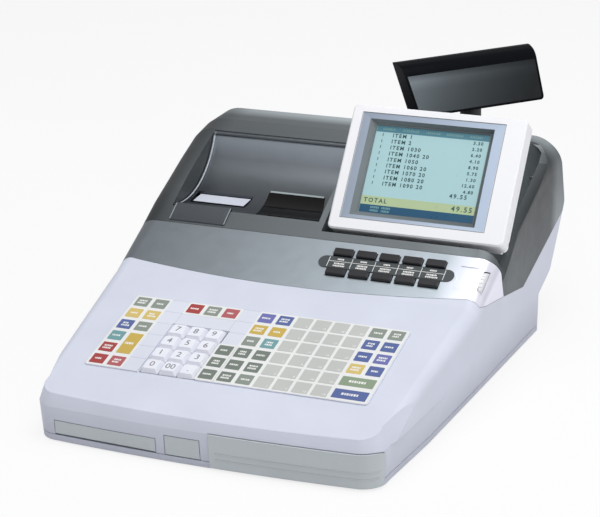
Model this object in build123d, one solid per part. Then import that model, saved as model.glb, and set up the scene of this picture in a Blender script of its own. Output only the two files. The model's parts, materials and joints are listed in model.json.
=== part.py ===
from build123d import *
import math
import os

# Electronic cash register head: a moulded case with a sloping keyboard, a two-station printer under a
# concave lid, a tilting operator screen and a swivelling customer display.
# Millimetres.  X runs across the machine, +Y to its rear, +Z up.  The front of the keyboard faces -Y.
# The origin is on the plane that the feet stand on, under the middle of the overall box.

# ---------------------------------------------------------------- overall form of the case
WALL = 3.0                 # moulded wall of every case shell
SEAM_GAP = 0.4             # open joint between two case shells
FRONT_Y = -209.0           # foremost line of the case, at the middle of the bowed front
FRONT_BOW = 7.0            # how far the front bows out at the middle
FRONT_CORNER_R = 24.0      # plan radius of the two front corners
BASE_REAR_Y = 205.0        # rear end of the flat bottom
CASE_HALF_REAR = 197.0     # half width at the shoulder, rear half
CASE_HALF_SEAM = CASE_HALF_REAR - 2.0       # the same, where the keyboard deck ends
CASE_HALF_FRONT = CASE_HALF_REAR - 24.0     # the same, at the front end
BASE_HALF_FRONT = CASE_HALF_FRONT + 2.0     # half width at the bottom, front end
BASE_FLARE = 0.037         # growth of the bottom half width per mm of depth
FRONT_BREAK_Z = 36.0       # height of the edge between the upright front and its sloping band
FRONT_BAND_TILT = 20.0     # slope of that band, from upright
FRONT_DRAFT = 3.0          # draft of the front below the band

DECK_Y = -95.0             # middle of the keyboard deck
DECK_Z = 73.0
DECK_TILT = 13.4           # slope of the keyboard deck
SEAM_Y = 9.0               # rear end of the deck
SEAM_BOW = 10.5            # how far the deck's rear seam bows forward at the middle
FASCIA_TILT = 28.0         # slope of the silver fascia
FASCIA_END_Y = 66.0        # seam between fascia and hood
HOOD_START_TILT = 32.0     # slope of the hood just behind the fascia
CREST_Y = 195.0            # where the hood's slope meets its flat rear bar
CREST_Z = 189.5
BAR_Z = 193.5              # top of the rear bar
REAR_TOP_Y = 262.0         # top rear edge
REAR_WAIST_Y = 281.5       # rearmost line of the case
REAR_WAIST_Z = 119.0
UNDERCUT_Y = 240.0         # below the waist the rear wall runs forward to this line
UNDERCUT_Z = 57.0
BASE_REAR_Z = 42.0         # top of the upright stretch at the bottom rear
SHOULDER_FRONT_R = 8.0     # rounding between deck and side wall, growing to the rear
SHOULDER_SEAM_R = 14.0
SHOULDER_HOOD_R = 30.0
SIDE_TIP_Y = 153.0         # lowest point of the hood's edge on the side wall
SIDE_TIP_Z = 69.0
SIDE_REAR_Y = 257.0        # where that edge meets the rear
SIDE_REAR_Z = 104.0

# ---------------------------------------------------------------- base and front doors
FOOT_H = 3.0
FOOT_R = 11.0
FOOT_INSET = 34.0
FOOT_SCREW_R = 1.5
FOOT_SCREW_HEAD_R = 3.0
FOOT_SCREW_HEAD_Z = (0.8, 2.0)
FOOT_BOSS_R = 4.0
FOOT_BOSS_TOP = 7.0
PAN_BOTTOM = 1.5
PAN_FLOOR = 2.5
PAN_TOP = 7.5
DOOR_T = 2.4
DOOR_GAP = 0.6
LEFT_DOOR = (-150.0, -43.0, 8.6, 22.5)      # x from, x to, z from, z to
CENTRE_DOOR = (-33.0, 2.0, 8.6, 27.5)
RIGHT_DOOR = (12.0, CASE_HALF_FRONT + 17.0, 2.6, 36.0)
RIGHT_DOOR_END_Y = -187.0  # where the right door ends on the side of the case
RIGHT_DOOR_PROUD = 1.6
LEFT_POCKET_DEPTH = 34.0
RIGHT_POCKET_DEPTH = 48.0
RIGHT_POCKET_X = CASE_HALF_FRONT - 25.0     # right end of the pocket behind the right door
RECESS_DEPTH = 6.5         # wall behind the right door, under the skin
POCKET_WALL = 2.2
HINGE_PIN_R = 0.9
LEFT_HINGE_DEPTH = 1.3     # left door's hinge line, behind its skin
LEFT_HINGE_RISE = 1.7      # and above its lower edge
LEFT_HINGE_ROUND = 1.55    # rounding of that edge about the hinge line
LEFT_HINGE_RELIEF = 2.2    # radius of the groove in the case behind that edge
RIGHT_HINGE_DEPTH = 3.8
RIGHT_HINGE_Z = 9.0
RIGHT_EAR_R = 2.0
RIGHT_HINGE_X = (22.0, 141.0)
HINGE_PIN_REACH = 5.5
RUNNING_CLEAR = 0.05       # radial play of every pin in its bore

# ---------------------------------------------------------------- keyboard
KEY_PITCH_X = 19.0
KEY_PITCH_Y = 19.3
KEY_COLS = 15
KEY_ROWS = 6
SHEET_T = 1.2
SHEET_MARGIN = 1.6
NUMBER_COLS = (4, 5, 6)
NUMBER_ROWS = (3, 4, 5, 6)
NUMBER_KEY_GAP = 0.9
NUMBER_KEY_H = 4.2         # height of a number key above the deck
NUMBER_KEY_TOP = 13.6
NUMBER_KEY_TRAVEL = 3.0
KEY_SINK = 8.0             # depth of a key's skirt below the surface around it
KEY_BOARD_T = 1.6
KEY_BOARD_TOP = -KEY_SINK - NUMBER_KEY_TRAVEL - 1.0     # below the surface around the keys
PLUNGER_R = 2.2
PLUNGER_TAIL = 1.5         # length of a plunger below its board

# ---------------------------------------------------------------- function keys on the fascia
FKEY_COUNT = 5
FKEY_PITCH = 24.1
FKEY_FIRST_X = 39.5
FKEY_W = 20.0
FKEY_D = 9.0
FKEY_TRAVEL = 2.0
FKEY_H = FKEY_TRAVEL + 1.6 # a pressed key still stands a little proud
FKEY_ROW_SPACING = 25.2
FKEY_CENTRE_Y = 41.6
FKEY_CLEAR = 0.5
STRIP_T = 0.8
STRIP_H = 15.0
STRIP_X = (17.0, 158.0)
BLANK_X = (CASE_HALF_SEAM - 34.0, CASE_HALF_SEAM - 14.0)
BLANK_H = 30.0
BLANK_DEPTH = 1.0
DIAL_R = 17.0
DIAL_T = 4.0
DIAL_X = CASE_HALF_SEAM - 8.5
DIAL_PROUD = 1.8

# ---------------------------------------------------------------- operator screen
SCREEN_X = CASE_HALF_REAR - 99.8            # centre of the visible picture
SCREEN_Y = 124.8
SCREEN_Z = 185.8
SCREEN_LEAN = 37.8         # leaning back from upright
PICTURE_W = 120.0
PICTURE_H = 90.0
PICTURE = (-PICTURE_W / 2, PICTURE_W / 2, -PICTURE_H / 2, PICTURE_H / 2)
BEZEL = (-86.3, 97.0, -67.2, 65.5)          # left, right, bottom, top about the picture's centre
BEZEL_FRONT = 8.0
BEZEL_BACK = -6.0
LIP = (-75.0, 76.0, -55.0, 58.0)
INNER_FRAME = (-65.8, 63.6, -49.2, 53.6)
FRAME_FRONT = 1.8          # face of the dark frame around the picture
PANEL_T = 4.0
SHELL_BEND = -12.0         # where the rear cover starts to close in
SHELL_BACK = -20.0
SHELL_CLOSE = 8.0
SCREEN_CORNER_R = 5.0
SCREEN_SHELL_T = 2.5
PIVOT_V = -58.0            # screen pivot, below the picture's centre along the screen
PIVOT_W = -15.0            # and behind its face
BARREL_R = 9.5
BARREL_INSET = 7.0
PIVOT_R = 4.0
EAR_X = (SCREEN_X - 50.2, SCREEN_X + 49.8)
EAR_T = 5.0
EAR_R = 8.0
EAR_NECK = 12.0
EAR_FOOT = 13.0
EAR_SLOT_CLEAR = 0.8
EAR_SLOT_R = 14.5
SHAFT_OVERHANG = 12.0

# ---------------------------------------------------------------- bays in the hood
BAY_FLOOR_Z = 92.0
BAY_LEFT_X = 6.0
BAY_RIGHT_X = CASE_HALF_REAR - 13.0
BAY_FRONT_Y = 75.0
BAY_REAR_Y = 243.0
BAY_WALL = 2.2
ARM_EDGE = ((75.0, 95.5), (88.0, 104.0), (125.0, 136.0), (205.0, 167.0), (226.0, 176.0), (243.0, 190.0))
ARM_CAP = 3.0              # thickness of the arm along that edge, given as (y, z) points
PRINTER_BAY_LEFT_X = 33.0 - CASE_HALF_REAR
PRINTER_BAY_RIGHT_X = -0.5
PRINTER_BAY_FRONT_Y = 85.0
PRINTER_BAY_REAR_Y = 193.0
PRINTER_WALL_Z = 112.0     # lower end of the walls around the printer

# ---------------------------------------------------------------- printer lid
LID_R = 88.0               # radius of the concave lid
LID_AXIS_Y = 110.0
LID_AXIS_Z = 222.0
LID_T = 2.5
LID_CLEAR = 0.8
LID_FRONT_CLEAR = 1.6
LID_HINGE_Y = 190.3
LID_HINGE_Z = 186.0
LID_BARREL_R = 2.2
LID_PIN_R = 1.2
LID_PIN_REACH = 2.0
RIB_W = 2.4                # raised rib along the lid's left end
RIB_H = 3.0
TAB_X = (PRINTER_BAY_LEFT_X + 4.0, PRINTER_BAY_LEFT_X + 66.0)   # thin tab of the lid, on the hood
TAB_FRONT_Y = 68.0
TAB_T = 1.2
SLOT_X = (PRINTER_BAY_LEFT_X + 4.0, PRINTER_BAY_LEFT_X + 68.0)  # receipt outlet
SLOT_Y = (114.0, 138.0)
WINDOW = ((-82.0, 148.0), (-20.0, 148.0), (-3.5, 89.5), (-75.0, 89.5))    # journal window, (x, y)
WINDOW_T = 1.5
WINDOW_GAP = 0.2

# ---------------------------------------------------------------- printer mechanism
FRAME_X = (PRINTER_BAY_LEFT_X + 3.0, -12.0)     # outer faces of the two side plates
FRAME_Y = (88.0, 186.0)
FRAME_Z = (7.8, 126.0)
FRAME_T = 2.0
ROLL_Y = 165.0
ROLL_Z = 96.0
ROLL_R = 25.0
ROLL_W = 57.5
RECEIPT_X = PRINTER_BAY_LEFT_X + 36.0           # middle of the receipt paper
JOURNAL_X = -51.0          # middle of the journal paper
SPINDLE_R = 6.0
PLATEN_Y = 129.0
PLATEN_Z = 122.0
JOURNAL_PLATEN_R = 8.0
RECEIPT_PLATEN_R = 12.3
PLATEN_SHAFT_R = 3.0
SPOOL_Y = 104.0
SPOOL_Z = 104.0
SPOOL_R = 15.0
SPOOL_CORE_R = 6.0
PAPER_T = 0.4
PAPER_GAP = 0.3
PAPER_OUT = ((137.0, 135.1), (118.0, 133.9))    # the receipt's underside in its outlet, as (y, z)
HEAD_Y = (98.0, 113.0)     # block of the print head
HEAD_Z = (112.0, 123.0)
HEAD_NOSE = 3.3            # its nose reaches this much farther, to the platen
TEAR_Y = (109.0, 114.4)    # plate of the tear bar, under the lid
TEAR_T = 0.8
TEAR_TOOTH = 2.0

# ---------------------------------------------------------------- customer display
POST_X = SCREEN_X + 4.8    # swivel axis, over the rear bar of the hood
POST_Y = 252.4
POST_FOOT_R = 9.3
POST_FOOT_H = 12.0
POST_R = 11.0
POST_PLATE = 20.0
SPIGOT_R = 5.0
SPIGOT_DEPTH = 18.0
HOUSING_Z = 222.3          # underside of the housing
HOUSING_LIFT = 0.4         # running gap under it
HOUSING_TURN = 46.0        # its long axis, turned from X
HOUSING_U = (-69.7, 82.5)  # its ends along that axis, at the top of its face
HOUSING_TAPER = 3.8        # each end leans in by this much down the face
HOUSING_CORNER_R = 5.0
HOUSING_T = 2.5
FACE_FOOT = (14.6, 0.0)    # section: forward of the axis, above the underside
FACE_HEAD = (-10.3, 38.5)
CROWN = ((-16.5, 44.5), (-24.5, 47.4), (-31.5, 48.2), (-37.0, 46.8))
BACK_FOOT = (-9.1, 0.0)
CUSTOMER_WINDOW_MARGIN = 2.5
CUSTOMER_WINDOW_T = 1.2

# ---------------------------------------------------------------- mode lock and main board
LOCK_Y = 232.0
LOCK_Z = 160.0
LOCK_R = 10.0
LOCK_REACH = 9.0
BOARD = (-40.0, 140.0, -60.0, 60.0)         # main board: x from, x to, y from, y to
BOARD_Z = 12.0
BOARD_T = 1.6
BOARD_POST_R = 3.0

os.makedirs("parts", exist_ok=True)


# ---------------------------------------------------------------- helpers
def slab(x0, x1, y0, y1, z0, z1):
    """A box from its six faces."""
    centre = ((x0 + x1) / 2, (y0 + y1) / 2, (z0 + z1) / 2)
    return Pos(*centre) * Box(x1 - x0, y1 - y0, z1 - z0)


def side_prism(points, x0, x1):
    """A prism along X over a polygon of (y, z) points."""
    face = make_face(Polyline(*[(x0, y, z) for y, z in points], close=True))
    return extrude(face, amount=x1 - x0, dir=(1, 0, 0))


def rod(x0, x1, y, z, radius):
    """A round bar along X."""
    return Pos((x0 + x1) / 2, y, z) * Rot(0, 90, 0) * Cylinder(radius, x1 - x0)


def upright(x, y, z0, z1, radius):
    """A round bar along Z."""
    return Pos(x, y, (z0 + z1) / 2) * Cylinder(radius, z1 - z0)


def as_solids(shape):
    """The solids of a shape as one compound."""
    return Compound(children=list(shape.solids()))


# ---------------------------------------------------------------- the outer form of the case
def arc_height(y):
    """Height of the hood's slope between the fascia and the crest, on one arc."""
    start_z = deck_height(SEAM_Y) + math.tan(math.radians(FASCIA_TILT)) * (FASCIA_END_Y - SEAM_Y)
    run, rise = CREST_Y - FASCIA_END_Y, CREST_Z - start_z
    chord = math.hypot(run, rise)
    half_turn = math.radians(HOOD_START_TILT) - math.atan2(rise, run)
    radius = chord / (2 * math.sin(half_turn))
    centre_y = FASCIA_END_Y + radius * math.sin(math.radians(HOOD_START_TILT))
    centre_z = start_z - radius * math.cos(math.radians(HOOD_START_TILT))
    return centre_z + math.sqrt(radius ** 2 - (y - centre_y) ** 2)


def deck_height(y):
    return DECK_Z + math.tan(math.radians(DECK_TILT)) * (y - DECK_Y)


def top_height(y):
    """Height of the case's top line at depth y."""
    if y <= SEAM_Y:
        return deck_height(y)
    if y <= FASCIA_END_Y:
        return deck_height(SEAM_Y) + math.tan(math.radians(FASCIA_TILT)) * (y - SEAM_Y)
    if y <= CREST_Y:
        return arc_height(y)
    return CREST_Z + (BAR_Z - CREST_Z) * min((y - CREST_Y) / 25.0, 1.0)


def blend(y, y0, v0, y1, v1):
    """Straight run of a value from v0 at y0 to v1 at y1, held beyond both ends."""
    t = min(max((y - y0) / (y1 - y0), 0.0), 1.0)
    return v0 + (v1 - v0) * t


def case_half(y):
    if y <= SEAM_Y:
        return blend(y, FRONT_Y, CASE_HALF_FRONT, SEAM_Y, CASE_HALF_SEAM)
    return blend(y, SEAM_Y, CASE_HALF_SEAM, CREST_Y / 2, CASE_HALF_REAR)


def base_half(y):
    return BASE_HALF_FRONT + BASE_FLARE * (y - FRONT_Y)


def shoulder_r(y):
    if y <= SEAM_Y:
        return blend(y, FRONT_Y, SHOULDER_FRONT_R, SEAM_Y, SHOULDER_SEAM_R)
    return blend(y, SEAM_Y, SHOULDER_SEAM_R, CREST_Y * 0.7, SHOULDER_HOOD_R)


def cross_section(y, inset, low):
    """Upright section of the case across X at depth y, drawn inset from the outer skin."""
    top = top_height(y) - inset
    foot = base_half(y) - inset
    shoulder = case_half(y) - inset
    outline = Polyline((-foot, low), (-shoulder, top), (shoulder, top), (foot, low), close=True)
    face = make_face(outline)
    face = fillet(face.vertices().sort_by(Axis.Y)[-2:], max(shoulder_r(y) - inset, 2.0))
    return Plane(origin=(0, y, 0), x_dir=(1, 0, 0), z_dir=(0, -1, 0)) * face


def rear_profile(inset, low):
    """Side outline that shapes the rear: bar, waist, undercut and upright foot."""
    far = FRONT_Y - 60
    high = BAR_Z + 60
    points = [(far, low), (far, high), (REAR_TOP_Y - inset, high), (REAR_TOP_Y - inset, BAR_Z - 6)]
    points += [(REAR_WAIST_Y - inset, REAR_WAIST_Z), (UNDERCUT_Y - inset, UNDERCUT_Z + inset)]
    points += [(BASE_REAR_Y - inset, BASE_REAR_Z + inset), (BASE_REAR_Y - inset, low)]
    face = make_face(Polyline(*points, close=True))
    corners = face.vertices().sort_by(Axis.X)
    waist = [v for v in corners if v.X > UNDERCUT_Y - inset - 1]
    face = fillet(waist, 9.0)
    plane = Plane(origin=(-260, 0, 0), x_dir=(0, 1, 0), z_dir=(1, 0, 0))
    return extrude(plane * face, amount=520)


def plan_outline(inset, flare, z):
    """Plan of the bowed front with its round corners; the sides open to the rear."""
    half = CASE_HALF_FRONT + 1.5 - inset
    bow_y = FRONT_Y + inset + FRONT_BOW
    side_y = FRONT_Y + FRONT_BOW + FRONT_CORNER_R + 2
    back_y = REAR_WAIST_Y + 60
    back_half = half + flare * (back_y - side_y)
    front = ThreePointArc((-half, bow_y, z), (0, FRONT_Y + inset, z), (half, bow_y, z))
    sides = Polyline((half, bow_y, z), (half, side_y, z), (back_half, back_y, z),
                     (-back_half, back_y, z), (-half, side_y, z), (-half, bow_y, z))
    face = make_face([front.edge()] + list(sides.edges()))
    corners = [v for v in face.vertices() if abs(v.Y - bow_y) < 0.01]
    return fillet(corners, FRONT_CORNER_R - inset)


def tapered(inset, flare, z0, z1, draft):
    """The plan outline drawn between two heights, leaning in by the draft as it leaves z0."""
    lean = abs(z1 - z0) * math.tan(math.radians(draft))
    return loft([plan_outline(inset, flare, z0), plan_outline(inset + lean, flare, z1)], ruled=True)


def envelope(inset=0.0):
    """The whole outer form of the case, or its inner void when inset by a wall."""
    low = -20.0 if inset else 0.0
    stations = [FRONT_Y - 6, SEAM_Y, FASCIA_END_Y]
    stations += [FASCIA_END_Y + (CREST_Y - FASCIA_END_Y) * k / 4 for k in range(1, 5)]
    stations += [CREST_Y + 25.0, REAR_WAIST_Y + 20]
    body = loft([cross_section(y, inset, low) for y in stations], ruled=True)
    body = body & rear_profile(inset, low)
    band_top = deck_height(FRONT_Y + 90)
    lower = tapered(inset, 0.08, FRONT_BREAK_Z, low, FRONT_DRAFT)
    band = tapered(inset, 0.30, FRONT_BREAK_Z, band_top, FRONT_BAND_TILT)
    rest = slab(-260, 260, FRONT_Y + 60, REAR_WAIST_Y + 60, band_top, BAR_Z + 60)
    return body & (lower + band + rest)


def tilted_plane(x, y, z, tilt):
    """A plane across the machine that slopes up to the rear by tilt degrees."""
    slope = math.radians(tilt)
    return Plane(origin=(x, y, z), x_dir=(1, 0, 0), z_dir=(0, -math.sin(slope), math.cos(slope)))


DECK = tilted_plane(0, DECK_Y, DECK_Z, DECK_TILT)
FASCIA = tilted_plane(0, FKEY_CENTRE_Y, top_height(FKEY_CENTRE_Y), FASCIA_TILT)
SCREEN = tilted_plane(SCREEN_X, SCREEN_Y, SCREEN_Z, 90.0 - SCREEN_LEAN)
SKIN = envelope()
VOID = envelope(WALL)
FLANGE_CORE = envelope(WALL + POCKET_WALL)


def hood_region(grow):
    """Space behind the deck's rear seam and above the hood's edge on the side walls."""
    half = case_half(SEAM_Y) - SHOULDER_SEAM_R
    seam_end_y = SEAM_Y + SEAM_BOW
    ends = [(-260, seam_end_y - grow, 0), (-half, seam_end_y - grow, 0)]
    bow = ThreePointArc(ends[1], (0, SEAM_Y - grow, 0), (half, seam_end_y - grow, 0))
    back = Polyline((half, seam_end_y - grow, 0), (260, seam_end_y - grow, 0), (260, 400, 0),
                    (-260, 400, 0), ends[0], ends[1])
    behind = extrude(make_face([bow.edge()] + list(back.edges())), amount=300)
    side_edge = [(seam_end_y - 8, deck_height(SEAM_Y)), (SIDE_TIP_Y, SIDE_TIP_Z)]
    side_edge += [(SIDE_REAR_Y, SIDE_REAR_Z), (REAR_WAIST_Y + 20, REAR_WAIST_Z)]
    outline = [(y, z - grow) for y, z in side_edge]
    outline += [(REAR_WAIST_Y + 20, 300), (seam_end_y - 8, 300)]
    above = side_prism(outline, -260, 260)
    above += slab(-half, half, SEAM_Y - 20, BAY_FRONT_Y + 100, deck_height(SEAM_Y) - 8, 300)
    return behind & above


# ---------------------------------------------------------------- front doors
def front_y(x, z):
    """Depth of the case's front skin below the band."""
    bow = FRONT_BOW * (x / (CASE_HALF_FRONT + 1.5)) ** 2
    return FRONT_Y + bow + (FRONT_BREAK_Z - z) * math.tan(math.radians(FRONT_DRAFT))


def door_box(door, grow):
    x0, x1, z0, z1 = door
    return slab(x0 - grow, x1 + grow, FRONT_Y - 20, RIGHT_DOOR_END_Y + grow, z0 - grow, z1 + grow)


def bar_between(start, end, radius):
    """A round bar from one point to another."""
    run = Vector(*end) - Vector(*start)
    return extrude(Plane(origin=start, z_dir=run) * Circle(radius), amount=run.length)


def left_hinge_line(beyond):
    """Ends of the left door's pins, past the ends of the door."""
    x0, x1, z0, z1 = LEFT_DOOR
    z = z0 + LEFT_HINGE_RISE
    start = Vector(x0, front_y(x0, z) + LEFT_HINGE_DEPTH, z)
    end = Vector(x1, front_y(x1, z) + LEFT_HINGE_DEPTH, z)
    run = (end - start).normalized()
    return tuple(start - run * beyond), tuple(end + run * beyond)


def right_hinge_line(beyond=0.0):
    """Middles of the right door's two knuckles, moved outward along the hinge line."""
    z = RIGHT_HINGE_Z
    start, end = [Vector(x, front_y(x, z) + RIGHT_HINGE_DEPTH, z) for x in RIGHT_HINGE_X]
    run = (end - start).normalized()
    return start - run * beyond, end + run * beyond


def right_hinge_pins(radius, spare=0.0):
    """The two short pins, each from its knuckle into its ear."""
    knuckles, tips = right_hinge_line(), right_hinge_line(HINGE_PIN_REACH + spare)
    pins = [bar_between(tuple(a), tuple(b), radius) for a, b in zip(knuckles, tips)]
    return pins[0] + pins[1]


def outside_swing(grow):
    """Corners at the rear of the right door's space, outside the circle in which its upper edge swings."""
    start, end = right_hinge_line(100)
    side_y = right_hinge_line(CASE_HALF_FRONT - RIGHT_HINGE_X[1])[1].Y
    radius = RIGHT_DOOR[3] - RIGHT_HINGE_Z + grow
    above = slab(RIGHT_HINGE_X[1], 260, side_y, 0, RIGHT_HINGE_Z, RIGHT_DOOR[3] + 20)
    corners = above - bar_between(tuple(start), tuple(end), radius)
    if grow == 0:
        below = slab(RIGHT_HINGE_X[1], 260, side_y, 0, 0, RIGHT_HINGE_Z)
        corners += below - bar_between(tuple(start), tuple(end), RIGHT_DOOR_END_Y - side_y)
    return corners


def door_seat(door):
    """A moulded wall behind a door, that its tray or its fixed cover seats on."""
    x0, x1, z0, z1 = door
    return (VOID - FLANGE_CORE) & slab(x0 - 5, x1 + 5, -260, 0, PAN_TOP + 0.5, z1 + 5)


def left_pocket(grow, depth):
    """Space of the pocket behind the left door, grown by its wall."""
    x0, x1, z0, z1 = LEFT_DOOR
    ledge = 2.0 - grow
    return slab(x0 + ledge, x1 - ledge, FRONT_Y - 5, FRONT_Y + depth, z0 + ledge, z1 - ledge)


def right_pocket(grow, depth):
    """Space of the pocket behind the right door, grown by its wall."""
    reach = 3 * POCKET_WALL
    low, high = PAN_TOP + reach + POCKET_WALL, RIGHT_DOOR[3] - POCKET_WALL
    x0, x1 = RIGHT_DOOR[0] + reach - grow, RIGHT_POCKET_X + grow
    return slab(x0, x1, -260, FRONT_Y + depth, low - grow, high + grow)


def make_door_trays():
    """Two trays open to the front, behind the walls that close the left and right doors' openings."""
    wall = POCKET_WALL
    left = left_pocket(wall, LEFT_POCKET_DEPTH) - left_pocket(0, LEFT_POCKET_DEPTH - wall)
    right = right_pocket(wall, RIGHT_POCKET_DEPTH) - right_pocket(0, RIGHT_POCKET_DEPTH - wall)
    return Compound(children=[left & FLANGE_CORE, right & envelope(RECESS_DEPTH + wall)])


def make_left_door():
    door = (SKIN - envelope(DOOR_T)) & door_box(LEFT_DOOR, 0)
    start, end = left_hinge_line(5)
    below = slab(start[0], end[0], FRONT_Y - 20, RIGHT_DOOR_END_Y, 0, start[2])
    door -= below - bar_between(start, end, LEFT_HINGE_ROUND)
    return door + bar_between(*left_hinge_line(2.2), HINGE_PIN_R)


def make_centre_door():
    return (SKIN - envelope(DOOR_T)) & door_box(CENTRE_DOOR, 0)


def make_right_door():
    """A proud shell round the corner of the case, with two ribs and two hinge knuckles.

    Behind its hinge line its upper and lower edges follow arcs about that line.
    """
    inner = envelope(DOOR_T - RIGHT_DOOR_PROUD + 0.4)
    proud = envelope(-RIGHT_DOOR_PROUD)
    door = (proud - inner) & door_box(RIGHT_DOOR, 0)
    door -= outside_swing(0)
    for rib_z in (RIGHT_DOOR[2] + 9.0, RIGHT_DOOR[2] + 15.0):
        rib = slab(RIGHT_DOOR[0] + 6, 260, -260, RIGHT_DOOR_END_Y - 6, rib_z, rib_z + 0.8)
        door += (envelope(-RIGHT_DOOR_PROUD - 0.5) - inner) & rib
    for point in right_hinge_line():
        x, y, z = point
        knuckle = slab(x - 2, x + 2, y - RIGHT_HINGE_DEPTH - 1.0, y + 2.0, z - 2.0, z + 2.0)
        door += knuckle & proud
    return door + right_hinge_pins(HINGE_PIN_R)


# ---------------------------------------------------------------- case shells
NUMBER_X = [(c - (KEY_COLS + 1) / 2) * KEY_PITCH_X for c in NUMBER_COLS]
NUMBER_V = [((KEY_ROWS + 1) / 2 - r) * KEY_PITCH_Y for r in NUMBER_ROWS]


def number_well(grow, bottom, top):
    """The block of space that the number keys stand in."""
    half_x, half_v = KEY_PITCH_X / 2, KEY_PITCH_Y / 2
    return DECK * slab(NUMBER_X[0] - half_x - grow, NUMBER_X[-1] + half_x + grow,
                       NUMBER_V[-1] - half_v - grow, NUMBER_V[0] + half_v + grow, bottom, top)


def recess_behind_right_door():
    """Inner wall that closes the case behind the right door, with the ledges that carry it."""
    x0, x1, z0, z1 = RIGHT_DOOR
    reach = 3 * POCKET_WALL
    zone = slab(x0 - DOOR_GAP - POCKET_WALL, 260, -260, RIGHT_DOOR_END_Y + reach, PAN_TOP + 5,
                z1 + DOOR_GAP + POCKET_WALL)
    wall = (envelope(RECESS_DEPTH) - envelope(RECESS_DEPTH + POCKET_WALL)) & zone
    ledges = (envelope(WALL - 0.5) - envelope(RECESS_DEPTH + POCKET_WALL)) & zone
    ledges -= slab(x0 - DOOR_GAP, 260, -260, RIGHT_DOOR_END_Y + DOOR_GAP, -1, z1 + DOOR_GAP)
    return wall + ledges - right_pocket(0, RIGHT_POCKET_DEPTH - POCKET_WALL)


def make_upper_case():
    shell = (SKIN - VOID) - hood_region(SEAM_GAP) - slab(-260, 260, -260, 400, -1, PAN_TOP + 0.5)
    shell -= number_well(0.4, -20, 20)
    for door in (LEFT_DOOR, CENTRE_DOOR):
        shell -= door_box(door, DOOR_GAP)
    shell -= door_box(RIGHT_DOOR, DOOR_GAP) - outside_swing(DOOR_GAP)
    shell += door_seat(LEFT_DOOR) - left_pocket(0, LEFT_POCKET_DEPTH)
    shell += door_seat(CENTRE_DOOR)
    shell -= bar_between(*left_hinge_line(0.3), LEFT_HINGE_RELIEF)
    shell += recess_behind_right_door()
    shell -= bar_between(*left_hinge_line(2.6), HINGE_PIN_R + RUNNING_CLEAR)
    return shell


def foot_places():
    front, rear = FRONT_Y + FOOT_INSET + 14, BASE_REAR_Y - FOOT_INSET
    half = BASE_HALF_FRONT - FOOT_INSET
    return [(x, y) for x in (-half, half) for y in (front, rear)]


def make_base_pan():
    pan = SKIN & slab(-260, 260, -260, 400, PAN_BOTTOM, PAN_TOP)
    pan -= envelope(WALL + 1.5) & slab(-260, 260, -260, 400, PAN_BOTTOM + PAN_FLOOR, PAN_TOP + 1)
    pan -= slab(RIGHT_DOOR[0] - DOOR_GAP, 260, -260, RIGHT_DOOR_END_Y + DOOR_GAP, -1, 30)
    for x, y in foot_places():
        pan -= Pos(x, y, PAN_BOTTOM) * Cylinder(FOOT_R + 0.2, 2 * (FOOT_H - PAN_BOTTOM))
    for x in (-120, -60, 0, 60, 120):
        pan += slab(x - 1, x + 1, FRONT_Y + 60, BASE_REAR_Y - 6, PAN_BOTTOM + 1, PAN_TOP)
    sill_y = RIGHT_DOOR_END_Y + DOOR_GAP
    sill = slab(RIGHT_DOOR[0] - DOOR_GAP, 260, sill_y, sill_y + PAN_FLOOR, PAN_BOTTOM, PAN_TOP)
    pan += sill & envelope(WALL)
    low, high = RIGHT_HINGE_Z - RIGHT_EAR_R, RIGHT_HINGE_Z + RIGHT_EAR_R
    for knuckle, tip in zip(right_hinge_line(2.4), right_hinge_line(HINGE_PIN_REACH)):
        x0, x1 = sorted((knuckle.X, tip.X))
        pan += slab(x0, x1, tip.Y, sill_y + PAN_FLOOR, low, high)
        pan += slab(x0, x1, sill_y - PAN_FLOOR, sill_y + PAN_FLOOR, PAN_BOTTOM, high)
        pan += rod(x0, x1, (knuckle.Y + tip.Y) / 2, RIGHT_HINGE_Z, RIGHT_EAR_R)
    for x, y in foot_places():
        pan += upright(x, y, FOOT_H, FOOT_BOSS_TOP, FOOT_BOSS_R)
        pan -= upright(x, y, 0, FOOT_BOSS_TOP - 1, FOOT_SCREW_R + RUNNING_CLEAR)
    return pan - right_hinge_pins(HINGE_PIN_R + RUNNING_CLEAR, 0.5)


def make_feet():
    feet = []
    for x, y in foot_places():
        foot = upright(x, y, 0, FOOT_H, FOOT_R) - upright(x, y, 0, FOOT_H, FOOT_SCREW_R + RUNNING_CLEAR)
        feet.append(foot - upright(x, y, 0, FOOT_SCREW_HEAD_Z[1], FOOT_SCREW_HEAD_R + 0.2))
    return Compound(children=feet)


def make_foot_screws():
    screws = []
    low, high = FOOT_SCREW_HEAD_Z
    for x, y in foot_places():
        screw = upright(x, y, low, high, FOOT_SCREW_HEAD_R)
        screw += upright(x, y, low, FOOT_BOSS_TOP - 1.2, FOOT_SCREW_R)
        screws.append(screw - slab(x - 4, x + 4, y - 0.4, y + 0.4, low - 1, low + 0.6))
    return Compound(children=screws)


def fascia_side(shift):
    """Space in front of the seam between fascia and hood, which leans back as it goes down."""
    top_z = top_height(FASCIA_END_Y)
    y = FASCIA_END_Y + shift
    return side_prism([(y - 200, 300), (y - 0.5 * (300 - top_z), 300), (y, top_z),
                       (y + 0.5 * (top_z - 40), 40), (y - 200, 40)], -260, 260)


def fkey_places():
    rows = (FKEY_ROW_SPACING / 2, -FKEY_ROW_SPACING / 2)
    return [(FKEY_FIRST_X + k * FKEY_PITCH, v) for v in rows for k in range(FKEY_COUNT)]


def dial_centre():
    """Depth and height of the contrast wheel's axis, under the fascia."""
    point = FASCIA.from_local_coords((0, 0, DIAL_PROUD - DIAL_R))
    return point.Y, point.Z


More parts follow.
